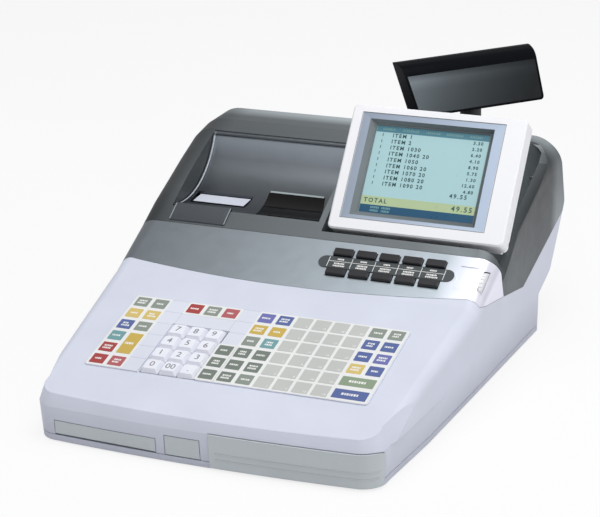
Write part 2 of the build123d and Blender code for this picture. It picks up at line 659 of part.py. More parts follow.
def make_fascia():
    fascia = ((SKIN - VOID) & hood_region(0)) & fascia_side(-SEAM_GAP / 2)
    for x, v in fkey_places():
        opening = Box(FKEY_W + 2 * FKEY_CLEAR, FKEY_D + 2 * FKEY_CLEAR, 30)
        fascia -= FASCIA * (Pos(x, v, 0) * opening)
    slot_half = DIAL_T / 2 + 0.6
    fascia -= rod(DIAL_X - slot_half, DIAL_X + slot_half, *dial_centre(), DIAL_R + 1.2)
    fascia -= FASCIA * slab(BLANK_X[0], BLANK_X[1], -BLANK_H / 2, BLANK_H / 2, -BLANK_DEPTH, 5)
    return fascia


def above_arm(shift, x0, x1):
    """Space above the sloping edge of the arm beside the screen."""
    edge = [(y, z + shift) for y, z in ARM_EDGE]
    return side_prism([(BAY_FRONT_Y, 320)] + edge + [(BAY_REAR_Y, 320)], x0, x1)


def make_hood():
    wall = BAY_WALL
    hood = ((SKIN - VOID) & hood_region(0)) - fascia_side(SEAM_GAP / 2)
    hood -= slab(PRINTER_BAY_LEFT_X, PRINTER_BAY_RIGHT_X, PRINTER_BAY_FRONT_Y, PRINTER_BAY_REAR_Y, 60, 300)
    x0, x1 = BAY_LEFT_X, BAY_RIGHT_X
    floor = BAY_FLOOR_Z
    walls = slab(x0 - wall, x1 + wall, BAY_FRONT_Y - wall, BAY_REAR_Y + wall, floor - wall, 300)
    walls -= slab(x0, x1, BAY_FRONT_Y, BAY_REAR_Y, floor, 300)
    left, right = PRINTER_BAY_LEFT_X, PRINTER_BAY_RIGHT_X
    frame = slab(left - wall, right + wall, PRINTER_BAY_FRONT_Y - wall, PRINTER_BAY_REAR_Y + wall,
                 PRINTER_WALL_Z, 300)
    frame -= slab(left, right, PRINTER_BAY_FRONT_Y, PRINTER_BAY_REAR_Y, 0, 300)
    arm = slab(x1, 260, BAY_FRONT_Y - wall, BAY_REAR_Y + wall, floor - wall, 300)
    arm = (arm & hood_region(0)) - fascia_side(SEAM_GAP / 2)
    arm -= VOID & (slab(x1 + wall, 260, 0, 400, 0, 320) - above_arm(-ARM_CAP, x1 - 1, 261))
    hood += (walls + frame + arm) & SKIN
    hood -= above_arm(0, x0, 261)
    for x in (left - LID_PIN_REACH - 0.1, right - 0.1):
        hood -= rod(x, x + LID_PIN_REACH + 0.2, LID_HINGE_Y, LID_HINGE_Z, LID_PIN_R + RUNNING_CLEAR)
    return hood - rod(x1 - 1, x1 + wall + 1, LOCK_Y, LOCK_Z, LOCK_R * 0.5 + RUNNING_CLEAR)


# ---------------------------------------------------------------- keyboard
def make_keyboard_sheet():
    half_x = KEY_COLS * KEY_PITCH_X / 2 + SHEET_MARGIN
    half_v = KEY_ROWS * KEY_PITCH_Y / 2 + SHEET_MARGIN / 2
    sheet = DECK * extrude(RectangleRounded(2 * half_x, 2 * half_v, 4), amount=SHEET_T)
    return sheet - number_well(SHEET_MARGIN, -5, 5)


def number_key(x, v):
    """A hollow key cap with sloping sides, on a round plunger."""
    half = NUMBER_KEY_GAP / 2
    width, depth = KEY_PITCH_X - 2 * half, KEY_PITCH_Y - 2 * half
    top = NUMBER_KEY_TOP
    foot = RectangleRounded(width, depth, 1.2)
    head = RectangleRounded(top, top + KEY_PITCH_Y - KEY_PITCH_X, 2.0)
    key = extrude(Pos(0, 0, -KEY_SINK) * foot, amount=KEY_SINK)
    key += loft([foot, Pos(0, 0, NUMBER_KEY_H) * head], ruled=True)
    wall = 1.4
    key -= Pos(0, 0, -KEY_SINK / 2 - wall / 2) * Box(width - 2 * wall, depth - 2 * wall, KEY_SINK - wall)
    reach = -KEY_BOARD_TOP + KEY_BOARD_T + PLUNGER_TAIL
    key += Pos(0, 0, -reach / 2) * Cylinder(PLUNGER_R, reach)
    return DECK * (Pos(x, v, 0) * key)


def function_key(x, v):
    """A black bar key with rounded ends, on a round plunger."""
    top = extrude(Pos(0, 0, -KEY_SINK) * RectangleRounded(FKEY_W, FKEY_D, 1.5), amount=KEY_SINK + FKEY_H)
    key = chamfer(top.faces().sort_by(Axis.Z)[-1].edges(), 0.8)
    reach = -KEY_BOARD_TOP + KEY_BOARD_T + PLUNGER_TAIL
    key += Pos(0, 0, -reach / 2) * Cylinder(PLUNGER_R, reach)
    return FASCIA * (Pos(x, v, 0) * key)


def plunger_board(plane, places, margin):
    """A board under a group of keys, with a guide bore for each plunger."""
    xs, vs = [x for x, v in places], [v for x, v in places]
    board = slab(min(xs) - margin, max(xs) + margin, min(vs) - margin, max(vs) + margin,
                 KEY_BOARD_TOP - KEY_BOARD_T, KEY_BOARD_TOP)
    for x, v in places:
        board -= Pos(x, v, KEY_BOARD_TOP) * Cylinder(PLUNGER_R + RUNNING_CLEAR, 3 * KEY_BOARD_T)
    for x in (min(xs) - margin + 2, max(xs) + margin - 2):
        for v in (min(vs) - margin + 2, max(vs) + margin - 2):
            board += Pos(x, v, (KEY_BOARD_TOP - WALL) / 2 - 0.1) * Cylinder(1.8, -KEY_BOARD_TOP - WALL - 0.2)
    return plane * board


def number_places():
    return [(x, v) for v in NUMBER_V for x in NUMBER_X]


def make_key_boards():
    boards = [plunger_board(DECK, number_places(), 15.0), plunger_board(FASCIA, fkey_places(), 12.0)]
    return Compound(children=boards)


def make_label_strip():
    width = STRIP_X[1] - STRIP_X[0]
    strip = extrude(Pos((STRIP_X[0] + STRIP_X[1]) / 2, 0, 0) * SlotOverall(width, STRIP_H), amount=STRIP_T)
    return FASCIA * strip


def make_contrast_dial():
    y, z = dial_centre()
    half = DIAL_T / 2
    dial = rod(DIAL_X - half, DIAL_X + half, y, z, DIAL_R)
    for k in range(24):
        turn = math.radians(15 * k)
        dial -= rod(DIAL_X - half - 1, DIAL_X + half + 1, y + DIAL_R * math.cos(turn),
                    z + DIAL_R * math.sin(turn), 0.8)
    return dial


# ---------------------------------------------------------------- operator screen
def screen_face(rect, w, grow=0.0, radius=0.0):
    """A rectangle of the screen, at height w over the picture."""
    left, right, bottom, top = rect
    width, height = right - left + 2 * grow, top - bottom + 2 * grow
    shape = RectangleRounded(width, height, radius) if radius else Rectangle(width, height)
    return Pos((left + right) / 2, (bottom + top) / 2, w) * shape


def screen_plate(rect, w0, w1, grow=0.0, radius=0.0):
    return extrude(screen_face(rect, w0, grow, radius), amount=w1 - w0)


def make_bezel():
    wall = SCREEN_SHELL_T
    bezel = screen_plate(BEZEL, BEZEL_BACK, BEZEL_FRONT, radius=SCREEN_CORNER_R)
    bezel = chamfer(bezel.faces().sort_by(Axis.Z)[-1].edges(), 1.5)
    throat = FRAME_FRONT + 0.1
    hollow = screen_plate(BEZEL, BEZEL_BACK, BEZEL_FRONT - wall, -wall, SCREEN_CORNER_R - wall)
    hollow -= loft([screen_face(INNER_FRAME, throat, wall), screen_face(LIP, BEZEL_FRONT, wall)], ruled=True)
    funnel = loft([screen_face(INNER_FRAME, throat), screen_face(LIP, BEZEL_FRONT)], ruled=True)
    return SCREEN * (bezel - hollow - funnel)


def make_display_frame():
    frame = screen_plate(INNER_FRAME, 0.1, FRAME_FRONT, 2.0)
    return SCREEN * (frame - screen_plate(PICTURE, -1, FRAME_FRONT + 1))


def make_display_panel():
    return SCREEN * screen_plate(PICTURE, -PANEL_T, 0, 3.0)


def pivot():
    """Depth and height of the screen's hinge axis."""
    point = SCREEN.from_local_coords((0, PIVOT_V, PIVOT_W))
    return point.Y, point.Z


def make_display_back():
    rim = BEZEL_BACK - SEAM_GAP
    wall, corner = SCREEN_SHELL_T, SCREEN_CORNER_R
    bend = screen_face(BEZEL, SHELL_BEND, radius=corner)
    shell = screen_plate(BEZEL, SHELL_BEND, rim, radius=corner)
    shell += loft([bend, screen_face(BEZEL, SHELL_BACK, -SHELL_CLOSE, corner)], ruled=True)
    shell = SCREEN * shell
    x0, x1 = SCREEN_X + BEZEL[0] + BARREL_INSET, SCREEN_X + BEZEL[1] - BARREL_INSET
    shell += rod(x0, x1, *pivot(), BARREL_R) & (SCREEN * slab(-200, 200, -200, 200, -60, rim))
    hollow = screen_plate(BEZEL, SHELL_BACK + wall, rim, -SHELL_CLOSE - wall)
    shell -= SCREEN * hollow
    shell += rod(x0, x1, *pivot(), BARREL_R - 0.5) & (SCREEN * slab(-200, 200, -200, 200, -60, rim))
    shell -= rod(x0 - 20, x1 + 20, *pivot(), PIVOT_R + RUNNING_CLEAR)
    for x in EAR_X:
        half = EAR_T / 2 + EAR_SLOT_CLEAR
        shell -= rod(x - half, x + half, *pivot(), EAR_SLOT_R)
    return shell


def make_hinge_shaft():
    return rod(EAR_X[0] - SHAFT_OVERHANG, EAR_X[1] + SHAFT_OVERHANG, *pivot(), PIVOT_R)


def make_hinge_brackets():
    y, z = pivot()
    brackets = []
    for x in EAR_X:
        x0, x1 = x - EAR_T / 2, x + EAR_T / 2
        ear = rod(x0, x1, y, z, EAR_R) + slab(x0, x1, y - EAR_NECK / 2, y + EAR_NECK / 2, BAY_FLOOR_Z, z)
        ear += slab(x - EAR_FOOT, x + EAR_FOOT, y - EAR_NECK, y + EAR_NECK, BAY_FLOOR_Z, BAY_FLOOR_Z + 3)
        brackets.append(ear - rod(x0 - 1, x1 + 1, y, z, PIVOT_R + RUNNING_CLEAR))
    return Compound(children=brackets)


# ---------------------------------------------------------------- customer display
TURN = math.radians(HOUSING_TURN)
LONG_AXIS = Vector(math.cos(TURN), math.sin(TURN), 0)
FORWARD = Vector(math.sin(TURN), -math.cos(TURN), 0)


def housing_plane(u):
    """Section plane across the housing at u along its long axis; X runs backward, Y up."""
    origin = Vector(POST_X, POST_Y, HOUSING_Z) + LONG_AXIS * u
    return Plane(origin=origin, x_dir=-FORWARD, z_dir=LONG_AXIS)


def housing_section():
    def at(point):
        return (-point[0], point[1])
    crown = [at(p) for p in (FACE_HEAD,) + CROWN]
    top = ThreePointArc(crown[0], crown[1], crown[2]) + ThreePointArc(crown[2], crown[3], crown[4])
    rest = Polyline(crown[4], at(BACK_FOOT), at(FACE_FOOT), crown[0])
    return make_face(list(top.edges()) + list(rest.edges()))


def face_plane():
    """Plane of the sloping face; X along the housing, Y up the slope."""
    rise = Vector(*(-FORWARD * (FACE_FOOT[0] - FACE_HEAD[0]))) + Vector(0, 0, FACE_HEAD[1])
    origin = Vector(POST_X, POST_Y, HOUSING_Z) + FORWARD * FACE_FOOT[0]
    normal = LONG_AXIS.cross(rise)
    return Plane(origin=origin, x_dir=LONG_AXIS, z_dir=normal)


FACE_SLOPE = math.hypot(FACE_FOOT[0] - FACE_HEAD[0], FACE_HEAD[1])


def face_outline(inset, low, high, corner):
    """Outline of the face between two distances up its slope, narrower at its foot."""
    points = []
    for end, side in ((HOUSING_U[0], 1), (HOUSING_U[1], -1)):
        for s in (low, high)[::side]:
            points.append((end + side * (inset + HOUSING_TAPER * (1 - s / FACE_SLOPE)), s))
    face = make_face(Polyline(*points, close=True))
    return fillet(face.vertices().sort_by(Axis.Y)[:2], corner)


def customer_window(grow, depth, top):
    """The smoked window's space on the sloping face."""
    margin = CUSTOMER_WINDOW_MARGIN - grow
    outline = face_outline(margin, margin, FACE_SLOPE - margin / 2, HOUSING_CORNER_R - margin)
    return face_plane() * extrude(Pos(0, 0, -depth) * outline, amount=depth + top, dir=(0, 0, 1))


def housing_body(inset):
    """The housing's outer form, or its hollow when inset by a wall."""
    section = housing_section()
    if inset:
        section = offset(section, -inset)
    start, length = HOUSING_U[0] - FACE_SLOPE, HOUSING_U[1] - HOUSING_U[0] + 2 * FACE_SLOPE
    bar = extrude(housing_plane(start) * section, amount=length)
    outline = Pos(0, 0, -FACE_SLOPE) * face_outline(inset, 0, 2 * FACE_SLOPE, HOUSING_CORNER_R)
    return bar & (face_plane() * extrude(outline, amount=2 * FACE_SLOPE, dir=(0, 0, 1)))


def make_customer_housing():
    """A black shell with leaning ends, a boss on its floor and a spigot for the swivel."""
    body = housing_body(0) - housing_body(HOUSING_T)
    body -= customer_window(0.1, CUSTOMER_WINDOW_T, 5)
    boss_top = HOUSING_Z + HOUSING_T + 6
    body += upright(POST_X, POST_Y, HOUSING_Z, boss_top, SPIGOT_R + 2)
    return body + upright(POST_X, POST_Y, HOUSING_Z - SPIGOT_DEPTH, boss_top, SPIGOT_R)


def make_customer_window():
    return customer_window(0, CUSTOMER_WINDOW_T - 0.1, 0)


def make_customer_stalk():
    """A post with a collar, on a plate that is screwed to the hood's rear bar."""
    top = HOUSING_Z - HOUSING_LIFT
    x0, x1 = POST_X - POST_PLATE, POST_X + POST_PLATE
    plate = slab(x0, x1, BAY_REAR_Y + 0.5, REAR_TOP_Y - 0.5, BAR_Z, BAR_Z + 3)
    plate = fillet(plate.edges().filter_by(Axis.Z), 4)
    stalk = plate + upright(POST_X, POST_Y, BAR_Z, BAR_Z + POST_FOOT_H, POST_FOOT_R)
    stalk += upright(POST_X, POST_Y, BAR_Z + POST_FOOT_H - 2, top, POST_R)
    stalk = chamfer(stalk.faces().sort_by(Axis.Z)[-1].edges(), 0.8)
    return stalk - upright(POST_X, POST_Y, HOUSING_Z - SPIGOT_DEPTH - 0.3, top + 1, SPIGOT_R + RUNNING_CLEAR)


# ---------------------------------------------------------------- printer lid
def lid_sheet(radius, thickness, x0, x1, y0, y1):
    """Part of a hollow cylinder under the lid's axis, between two depths."""
    sheet = rod(x0, x1, LID_AXIS_Y, LID_AXIS_Z, radius + thickness)
    sheet -= rod(x0 - 1, x1 + 1, LID_AXIS_Y, LID_AXIS_Z, radius)
    return sheet & slab(x0, x1, y0, y1, LID_AXIS_Z - radius - thickness - 1, LID_HINGE_Z)


def window_prism(grow):
    """Upright prism over the journal window's outline."""
    outline = make_face(Polyline(*WINDOW, close=True))
    outline = fillet(outline.vertices(), 2.5)
    if grow:
        outline = offset(outline, grow)
    return extrude(Pos(0, 0, LID_AXIS_Z - LID_R - 10) * outline, amount=LID_R)


def make_printer_cover():
    x0, x1 = PRINTER_BAY_LEFT_X + LID_CLEAR, PRINTER_BAY_RIGHT_X - LID_CLEAR
    y0 = PRINTER_BAY_FRONT_Y + LID_FRONT_CLEAR
    cover = lid_sheet(LID_R, LID_T, x0, x1, y0, LID_HINGE_Y)
    cover += lid_sheet(LID_R - RIB_H, RIB_H + 0.5, x0, x0 + RIB_W, y0, LID_HINGE_Y)
    cover += rod(x0, x1, LID_HINGE_Y, LID_HINGE_Z, LID_BARREL_R)
    cover += rod(PRINTER_BAY_LEFT_X - LID_PIN_REACH, PRINTER_BAY_RIGHT_X + LID_PIN_REACH, LID_HINGE_Y,
                 LID_HINGE_Z, LID_PIN_R)
    cover -= slab(SLOT_X[0], SLOT_X[1], SLOT_Y[0], SLOT_Y[1], 100, LID_AXIS_Z - LID_R + 12)
    cover -= window_prism(WINDOW_GAP) & lid_sheet(LID_R - 1, WINDOW_T + 1, x0, x1, y0, LID_HINGE_Y)
    cover -= window_prism(-3)
    lift = 0.3
    tab_y = [TAB_FRONT_Y, (TAB_FRONT_Y + y0) / 2, y0]
    under = [(y, top_height(y) + lift) for y in tab_y]
    over = [(y, top_height(y) + lift + TAB_T) for y in reversed(tab_y)]
    web = [(y0, LID_AXIS_Z - LID_R + 1), (y0 + 2, LID_AXIS_Z - LID_R + 1), (y0 + 2, over[0][1])]
    return cover + side_prism(under + web + over, *TAB_X)


def make_journal_window():
    x0, x1 = PRINTER_BAY_LEFT_X + LID_CLEAR, PRINTER_BAY_RIGHT_X - LID_CLEAR
    y0 = PRINTER_BAY_FRONT_Y + LID_FRONT_CLEAR
    return window_prism(0) & lid_sheet(LID_R, WINDOW_T - WINDOW_GAP, x0, x1, y0, LID_HINGE_Y)


# ---------------------------------------------------------------- printer mechanism
def make_printer_frame():
    x0, x1 = FRAME_X
    y0, y1 = FRAME_Y
    z0, z1 = FRAME_Z
    side = [(y0, z0), (y0, z1 - 16), (y0 + 14, z1), (PLATEN_Y + 12, z1), (y1, ROLL_Z + 8), (y1, z0)]
    frame = side_prism(side, x0, x0 + FRAME_T) + side_prism(side, x1 - FRAME_T, x1)
    frame += slab(x0, x1, y0, y1, z0, z0 + FRAME_T)
    for y, z, radius in ((PLATEN_Y, PLATEN_Z, PLATEN_SHAFT_R), (SPOOL_Y, SPOOL_Z, PLATEN_SHAFT_R)):
        frame -= rod(x0 - 1, x1 + 1, y, z, radius + RUNNING_CLEAR)
    return frame + rod(x0 + FRAME_T, x1 - FRAME_T, ROLL_Y, ROLL_Z, SPINDLE_R)


def paper_roll(x):
    roll = rod(x - ROLL_W / 2, x + ROLL_W / 2, ROLL_Y, ROLL_Z, ROLL_R)
    return roll - rod(x - ROLL_W, x + ROLL_W, ROLL_Y, ROLL_Z, SPINDLE_R + RUNNING_CLEAR)


def make_takeup_spool():
    half = ROLL_W / 2
    spool = rod(JOURNAL_X - half, JOURNAL_X + half, SPOOL_Y, SPOOL_Z, SPOOL_CORE_R)
    for x in (JOURNAL_X - half - 1.5, JOURNAL_X + half):
        spool += rod(x, x + 1.5, SPOOL_Y, SPOOL_Z, SPOOL_R)
    return spool + rod(FRAME_X[0] - 2, FRAME_X[1] + 2, SPOOL_Y, SPOOL_Z, PLATEN_SHAFT_R)


def make_platen_shaft():
    return rod(FRAME_X[0] - 3, FRAME_X[1] + 3, PLATEN_Y, PLATEN_Z, PLATEN_SHAFT_R)


def make_platen_rollers():
    rollers = []
    for x, radius in ((RECEIPT_X, RECEIPT_PLATEN_R), (JOURNAL_X, JOURNAL_PLATEN_R)):
        roller = rod(x - ROLL_W / 2, x + ROLL_W / 2, PLATEN_Y, PLATEN_Z, radius)
        rollers.append(roller - rod(x - ROLL_W, x + ROLL_W, PLATEN_Y, PLATEN_Z, PLATEN_SHAFT_R))
    return Compound(children=rollers)


def make_print_head():
    """A line head beside the receipt roller, fixed to the left side plate."""
    x0, x1 = FRAME_X[0] + FRAME_T, RECEIPT_X + ROLL_W / 2
    head = slab(x0, x1, *HEAD_Y, *HEAD_Z)
    middle = sum(HEAD_Z) / 2 + 1
    nose = slab(RECEIPT_X - ROLL_W / 2, x1, HEAD_Y[1] - 1, HEAD_Y[1] + HEAD_NOSE, middle - 1.5, middle + 1.5)
    for k in range(5):
        y = HEAD_Y[0] + 1.5 + 2.4 * k
        head -= slab(x0 + 6, x1 - 2, y, y + 1.2, HEAD_Z[0] - 1, HEAD_Z[0] + 5)
    return head + nose


def make_tear_bar():
    """A toothed plate under the lid, at the front edge of the receipt outlet."""
    top = LID_AXIS_Z - LID_R - LID_T
    x0, x1 = SLOT_X[0] + 1, SLOT_X[1] - 1
    bar = slab(x0, x1, *TEAR_Y, top - TEAR_T, top)
    count = int((x1 - x0) / TEAR_TOOTH)
    edge = [(x0, TEAR_Y[1] - 0.1)]
    for k in range(count):
        x = x0 + k * TEAR_TOOTH
        edge += [(x, TEAR_Y[1]), (x + TEAR_TOOTH / 2, TEAR_Y[1] + TEAR_TOOTH / 2)]
    edge += [(x0 + count * TEAR_TOOTH, TEAR_Y[1]), (x0 + count * TEAR_TOOTH, TEAR_Y[1] - 0.1)]
    teeth = make_face(Polyline(*edge, close=True))
    return bar + extrude(Pos(0, 0, top - TEAR_T) * teeth, amount=TEAR_T, dir=(0, 0, 1))


def make_receipt_paper():
    """The receipt web from the top of its roll over the platen, lying in the outlet."""
    rear, front = PAPER_OUT
    run, drop = ROLL_Y - rear[0], rear[1] - ROLL_Z
    reach, radius = math.hypot(run, drop), ROLL_R + PAPER_GAP
    turn = math.asin(radius / reach) - math.atan2(drop, run)
    length = math.sqrt(reach ** 2 - radius ** 2)
    leave = (rear[0] + length * math.cos(turn), rear[1] + length * math.sin(turn))
    under = [leave, rear, front]
    over = [(y, z + PAPER_T) for y, z in reversed(under)]
    return side_prism(under + over, RECEIPT_X - ROLL_W / 2, RECEIPT_X + ROLL_W / 2)


# ---------------------------------------------------------------- mode lock and board
def make_mode_key():
    x = BAY_RIGHT_X
    grip = LOCK_R * 0.8
    key = rod(x - 3.0, x - 0.3, LOCK_Y, LOCK_Z, LOCK_R)
    key += rod(x - 1, x + BAY_WALL + 1, LOCK_Y, LOCK_Z, LOCK_R * 0.5)
    return key + slab(x - LOCK_REACH, x - 1, LOCK_Y - grip, LOCK_Y + grip, LOCK_Z - 1.2, LOCK_Z + 1.2)


def make_main_board():
    x0, x1, y0, y1 = BOARD
    board = slab(x0, x1, y0, y1, BOARD_Z, BOARD_Z + BOARD_T)
    floor = PAN_BOTTOM + PAN_FLOOR
    for x in (x0 + 8, x1 - 8):
        for y in (y0 + 8, y1 - 8):
            board += Pos(x, y, (floor + BOARD_Z) / 2) * Cylinder(BOARD_POST_R, BOARD_Z - floor)
    for x, y, w, d, h in ((0, 10, 34, 34, 4), (60, -20, 28, 16, 5), (100, 20, 20, 40, 12)):
        board += slab(x - w / 2, x + w / 2, y - d / 2, y + d / 2, BOARD_Z + BOARD_T, BOARD_Z + BOARD_T + h)
    return board


# ---------------------------------------------------------------- the parts
MAKERS = {
    "base_pan": make_base_pan,
    "rubber_feet": make_feet,
    "upper_case": make_upper_case,
    "front_fascia": make_fascia,
    "hood": make_hood,
    "foot_screws": make_foot_screws,
    "door_trays": make_door_trays,
    "front_left_door": make_left_door,
    "front_centre_cover": make_centre_door,
    "front_right_door": make_right_door,
    "keyboard_sheet": make_keyboard_sheet,
    "key_boards": make_key_boards,
    "function_label_strip": make_label_strip,
    "contrast_dial": make_contrast_dial,
    "display_bezel": make_bezel,
    "display_frame": make_display_frame,
    "display_panel": make_display_panel,
    "display_back": make_display_back,
    "display_hinge_shaft": make_hinge_shaft,
    "display_brackets": make_hinge_brackets,
    "customer_housing": make_customer_housing,
    "customer_window": make_customer_window,
    "customer_stalk": make_customer_stalk,
    "printer_cover": make_printer_cover,
    "journal_window": make_journal_window,
    "printer_frame": make_printer_frame,
    "takeup_spool": make_takeup_spool,
    "platen_shaft": make_platen_shaft,
    "platen_rollers": make_platen_rollers,
    "print_head": make_print_head,
    "tear_bar": make_tear_bar,
    "receipt_paper": make_receipt_paper,
    "mode_key": make_mode_key,
    "main_board": make_main_board,
}
parts = {name: make() for name, make in MAKERS.items()}
parts["receipt_roll"] = paper_roll(RECEIPT_X)
parts["journal_roll"] = paper_roll(JOURNAL_X)
NUMBER_NAMES = ("7", "8", "9", "4", "5", "6", "1", "2", "3", "0", "00", "point")
for key_name, place in zip(NUMBER_NAMES, number_places()):
    parts["number_key_" + key_name] = number_key(*place)
for index, place in enumerate(fkey_places()):
    parts["function_key_" + str(index + 1)] = function_key(*place)

extent = Compound(children=[as_solids(part) for part in parts.values()])
box = extent.bounding_box()
ORIGIN = Vector((box.min.X + box.max.X) / 2, (box.min.Y + box.max.Y) / 2, box.min.Z)
for name, part in parts.items():
    solids = [solid.moved(Location(-ORIGIN)) for solid in part.solids()]
    export_step(Compound(children=solids), "parts/" + name + ".step")
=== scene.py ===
import bpy
import bmesh
import json
import math
from mathutils import Matrix, Vector


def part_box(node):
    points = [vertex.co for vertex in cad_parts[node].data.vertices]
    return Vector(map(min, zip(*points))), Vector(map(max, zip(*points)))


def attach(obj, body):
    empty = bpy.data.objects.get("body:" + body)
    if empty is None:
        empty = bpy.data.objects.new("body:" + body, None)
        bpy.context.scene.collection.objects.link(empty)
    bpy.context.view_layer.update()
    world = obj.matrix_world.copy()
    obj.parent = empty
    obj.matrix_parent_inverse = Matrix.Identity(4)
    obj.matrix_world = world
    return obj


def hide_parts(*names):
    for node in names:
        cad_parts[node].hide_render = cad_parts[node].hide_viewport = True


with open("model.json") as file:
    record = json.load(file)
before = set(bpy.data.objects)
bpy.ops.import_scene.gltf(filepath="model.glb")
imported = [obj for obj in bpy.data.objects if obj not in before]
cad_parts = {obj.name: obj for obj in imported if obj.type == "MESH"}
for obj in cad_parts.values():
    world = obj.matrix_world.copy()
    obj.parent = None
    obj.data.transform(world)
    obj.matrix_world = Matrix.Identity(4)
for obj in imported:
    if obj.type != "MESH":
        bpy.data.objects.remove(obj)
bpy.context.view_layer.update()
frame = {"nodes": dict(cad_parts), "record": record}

# ------------------------------------------------------------------ the frame
# The frame is in metres. The drawing of the register is in millimetres, and so are all sizes below that
# are not said to be in metres.
MM = 0.001
FEET_BEHIND_ZERO = 0.005             # in metres, from the drawing's zero back to the middle of the feet
feet_low, feet_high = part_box("rubber_feet")
SHIFT = FEET_BEHIND_ZERO - (feet_low.y + feet_high.y) / 2


def place(x, y, z):
    """A point of the drawing as a point of the frame."""
    return Vector((x * MM, y * MM - SHIFT, z * MM))


class Surface:
    """A sloping plane of the register: u runs across the machine, v up the slope and n out of it.

    The point is the plane's zero in the drawing, and the tilt is in degrees.
    """

    def __init__(self, x, y, z, tilt):
        slope = math.radians(tilt)
        self.origin = place(x, y, z)
        self.u = Vector((1, 0, 0))
        self.v = Vector((0, math.cos(slope), math.sin(slope)))
        self.n = Vector((0, -math.sin(slope), math.cos(slope)))

    def at(self, u, v, n):
        return self.origin + (self.u * u + self.v * v + self.n * n) * MM

    def matrix(self, u, v, n):
        turn = Matrix((self.u, self.v, self.n)).transposed().to_4x4()
        return Matrix.Translation(self.at(u, v, n)) @ turn


DECK_TILT, FASCIA_TILT, SCREEN_TILT = 13.4, 28.0, 52.2
DECK = Surface(0, -95.0, 73.0, DECK_TILT)
FASCIA = Surface(0, 41.6, 115.11, FASCIA_TILT)
SCREEN = Surface(97.2, 124.8, 185.8, SCREEN_TILT)

# ------------------------------------------------------------------ camera
AZIMUTH, ELEVATION, ROLL = (math.radians(angle) for angle in (23.9139, 20.2398, -1.7884))
CAMERA_PLACE = (808.1, -1788.0, 852.8)
FOCAL_LENGTH, SENSOR_WIDTH = 129.54, 36.0
CLIP_START, CLIP_END = 0.1, 30.0     # in metres


def build_camera():
    look = Vector((-math.sin(AZIMUTH) * math.cos(ELEVATION), math.cos(AZIMUTH) * math.cos(ELEVATION),
                   -math.sin(ELEVATION)))
    level = Vector((math.cos(AZIMUTH), math.sin(AZIMUTH), 0))
    over = level.cross(look)
    right = level * math.cos(ROLL) + over * math.sin(ROLL)
    up = over * math.cos(ROLL) - level * math.sin(ROLL)
    lens = bpy.data.cameras.new("camera")
    lens.lens = FOCAL_LENGTH
    lens.sensor_width = SENSOR_WIDTH
    lens.sensor_fit = "HORIZONTAL"
    lens.clip_start = CLIP_START
    lens.clip_end = CLIP_END
    camera = bpy.data.objects.new("camera", lens)
    turn = Matrix((right, up, -look)).transposed().to_4x4()
    camera.matrix_world = Matrix.Translation(place(*CAMERA_PLACE)) @ turn
    bpy.context.scene.collection.objects.link(camera)
    bpy.context.scene.camera = camera


# ------------------------------------------------------------------ node trees
MIX_A, MIX_B, MIX_RESULT = 6, 7, 2   # the mix node's colour sockets


class Nodes:
    """Short calls for building a node tree."""

    def __init__(self, name):
        self.material = bpy.data.materials.new(name)
        self.material.use_nodes = True
        self.tree = self.material.node_tree
        self.shader = self.tree.nodes["Principled BSDF"]
        self.coords = self.add("ShaderNodeTexCoord").outputs["Object"]

    def add(self, kind, **values):
        """Adds a node; a value goes to the input of that name, or else to the node's own setting."""
        node = self.tree.nodes.new(kind)
        for key, value in values.items():
            if key in node.inputs:
                node.inputs[key].default_value = value
            else:
                setattr(node, key, value)
        return node

    def link(self, out, node, socket):
        self.tree.links.new(out, node.inputs[socket])

    def noise(self, scale, detail=2.0, stretch=None):
        """Noise with a scale per metre, stretched along the axes where that is given."""
        node = self.add("ShaderNodeTexNoise", Scale=scale, Detail=detail)
        source = self.coords
        if stretch:
            mapping = self.add("ShaderNodeMapping", Scale=stretch)
            self.link(source, mapping, "Vector")
            source = mapping.outputs["Vector"]
        self.link(source, node, "Vector")
        return node.outputs["Fac"]

    def ranged(self, value, low, high, start=0.3, end=0.7):
        """A value that goes from start to end, as one that goes from low to high."""
        node = self.add("ShaderNodeMapRange")
        for socket, number in (("From Min", start), ("From Max", end), ("To Min", low), ("To Max", high)):
            node.inputs[socket].default_value = number
        self.link(value, node, "Value")
        return node.outputs["Result"]

    def along(self, direction, stops):
        """A factor that runs along a direction of the frame; stops are (distance in metres, factor)."""
        dot = self.add("ShaderNodeVectorMath", operation="DOT_PRODUCT")
        dot.inputs[1].default_value = direction
        self.link(self.coords, dot, 0)
        distance = dot.outputs["Value"]
        total = None
        for (start, before), (end, after) in zip(stops, stops[1:]):
            if total is None:
                total = self.ranged(distance, before, after, start, end)
                continue
            step = self.ranged(distance, 0.0, after - before, start, end)
            join = self.add("ShaderNodeMath", operation="ADD")
            self.link(total, join, 0)
            self.link(step, join, 1)
            total = join.outputs[0]
        return total

    def times(self, colour, factor):
        node = self.add("ShaderNodeVectorMath", operation="SCALE")
        self.link(colour, node, 0)
        self.link(factor, node, "Scale")
        return node.outputs["Vector"]

    def mix(self, factor, first, second):
        """Mixes two colours, each a colour or the output of a node."""
        node = self.add("ShaderNodeMix", data_type="RGBA")
        self.link(factor, node, 0)
        for socket, colour in ((MIX_A, first), (MIX_B, second)):
            if isinstance(colour, bpy.types.NodeSocket):
                self.link(colour, node, socket)
            else:
                node.inputs[socket].default_value = (*colour, 1.0)
        return node.outputs[MIX_RESULT]


def scaled(colour, factor):
    return tuple(min(part * factor, 1.0) for part in colour)


# ------------------------------------------------------------------ kinds of material
DRIFT_SCALE, DRIFT_DETAIL = 16.0, 3.0
PATCH_SCALE, PATCH_DETAIL, PATCH_VARY = 90.0, 4.0, 0.03
FLAKE_SCALE, FLAKE_DETAIL, FLAKE_START, FLAKE_END = 5200.0, 1.0, 0.52, 0.72
EDGE_SAMPLES = 4


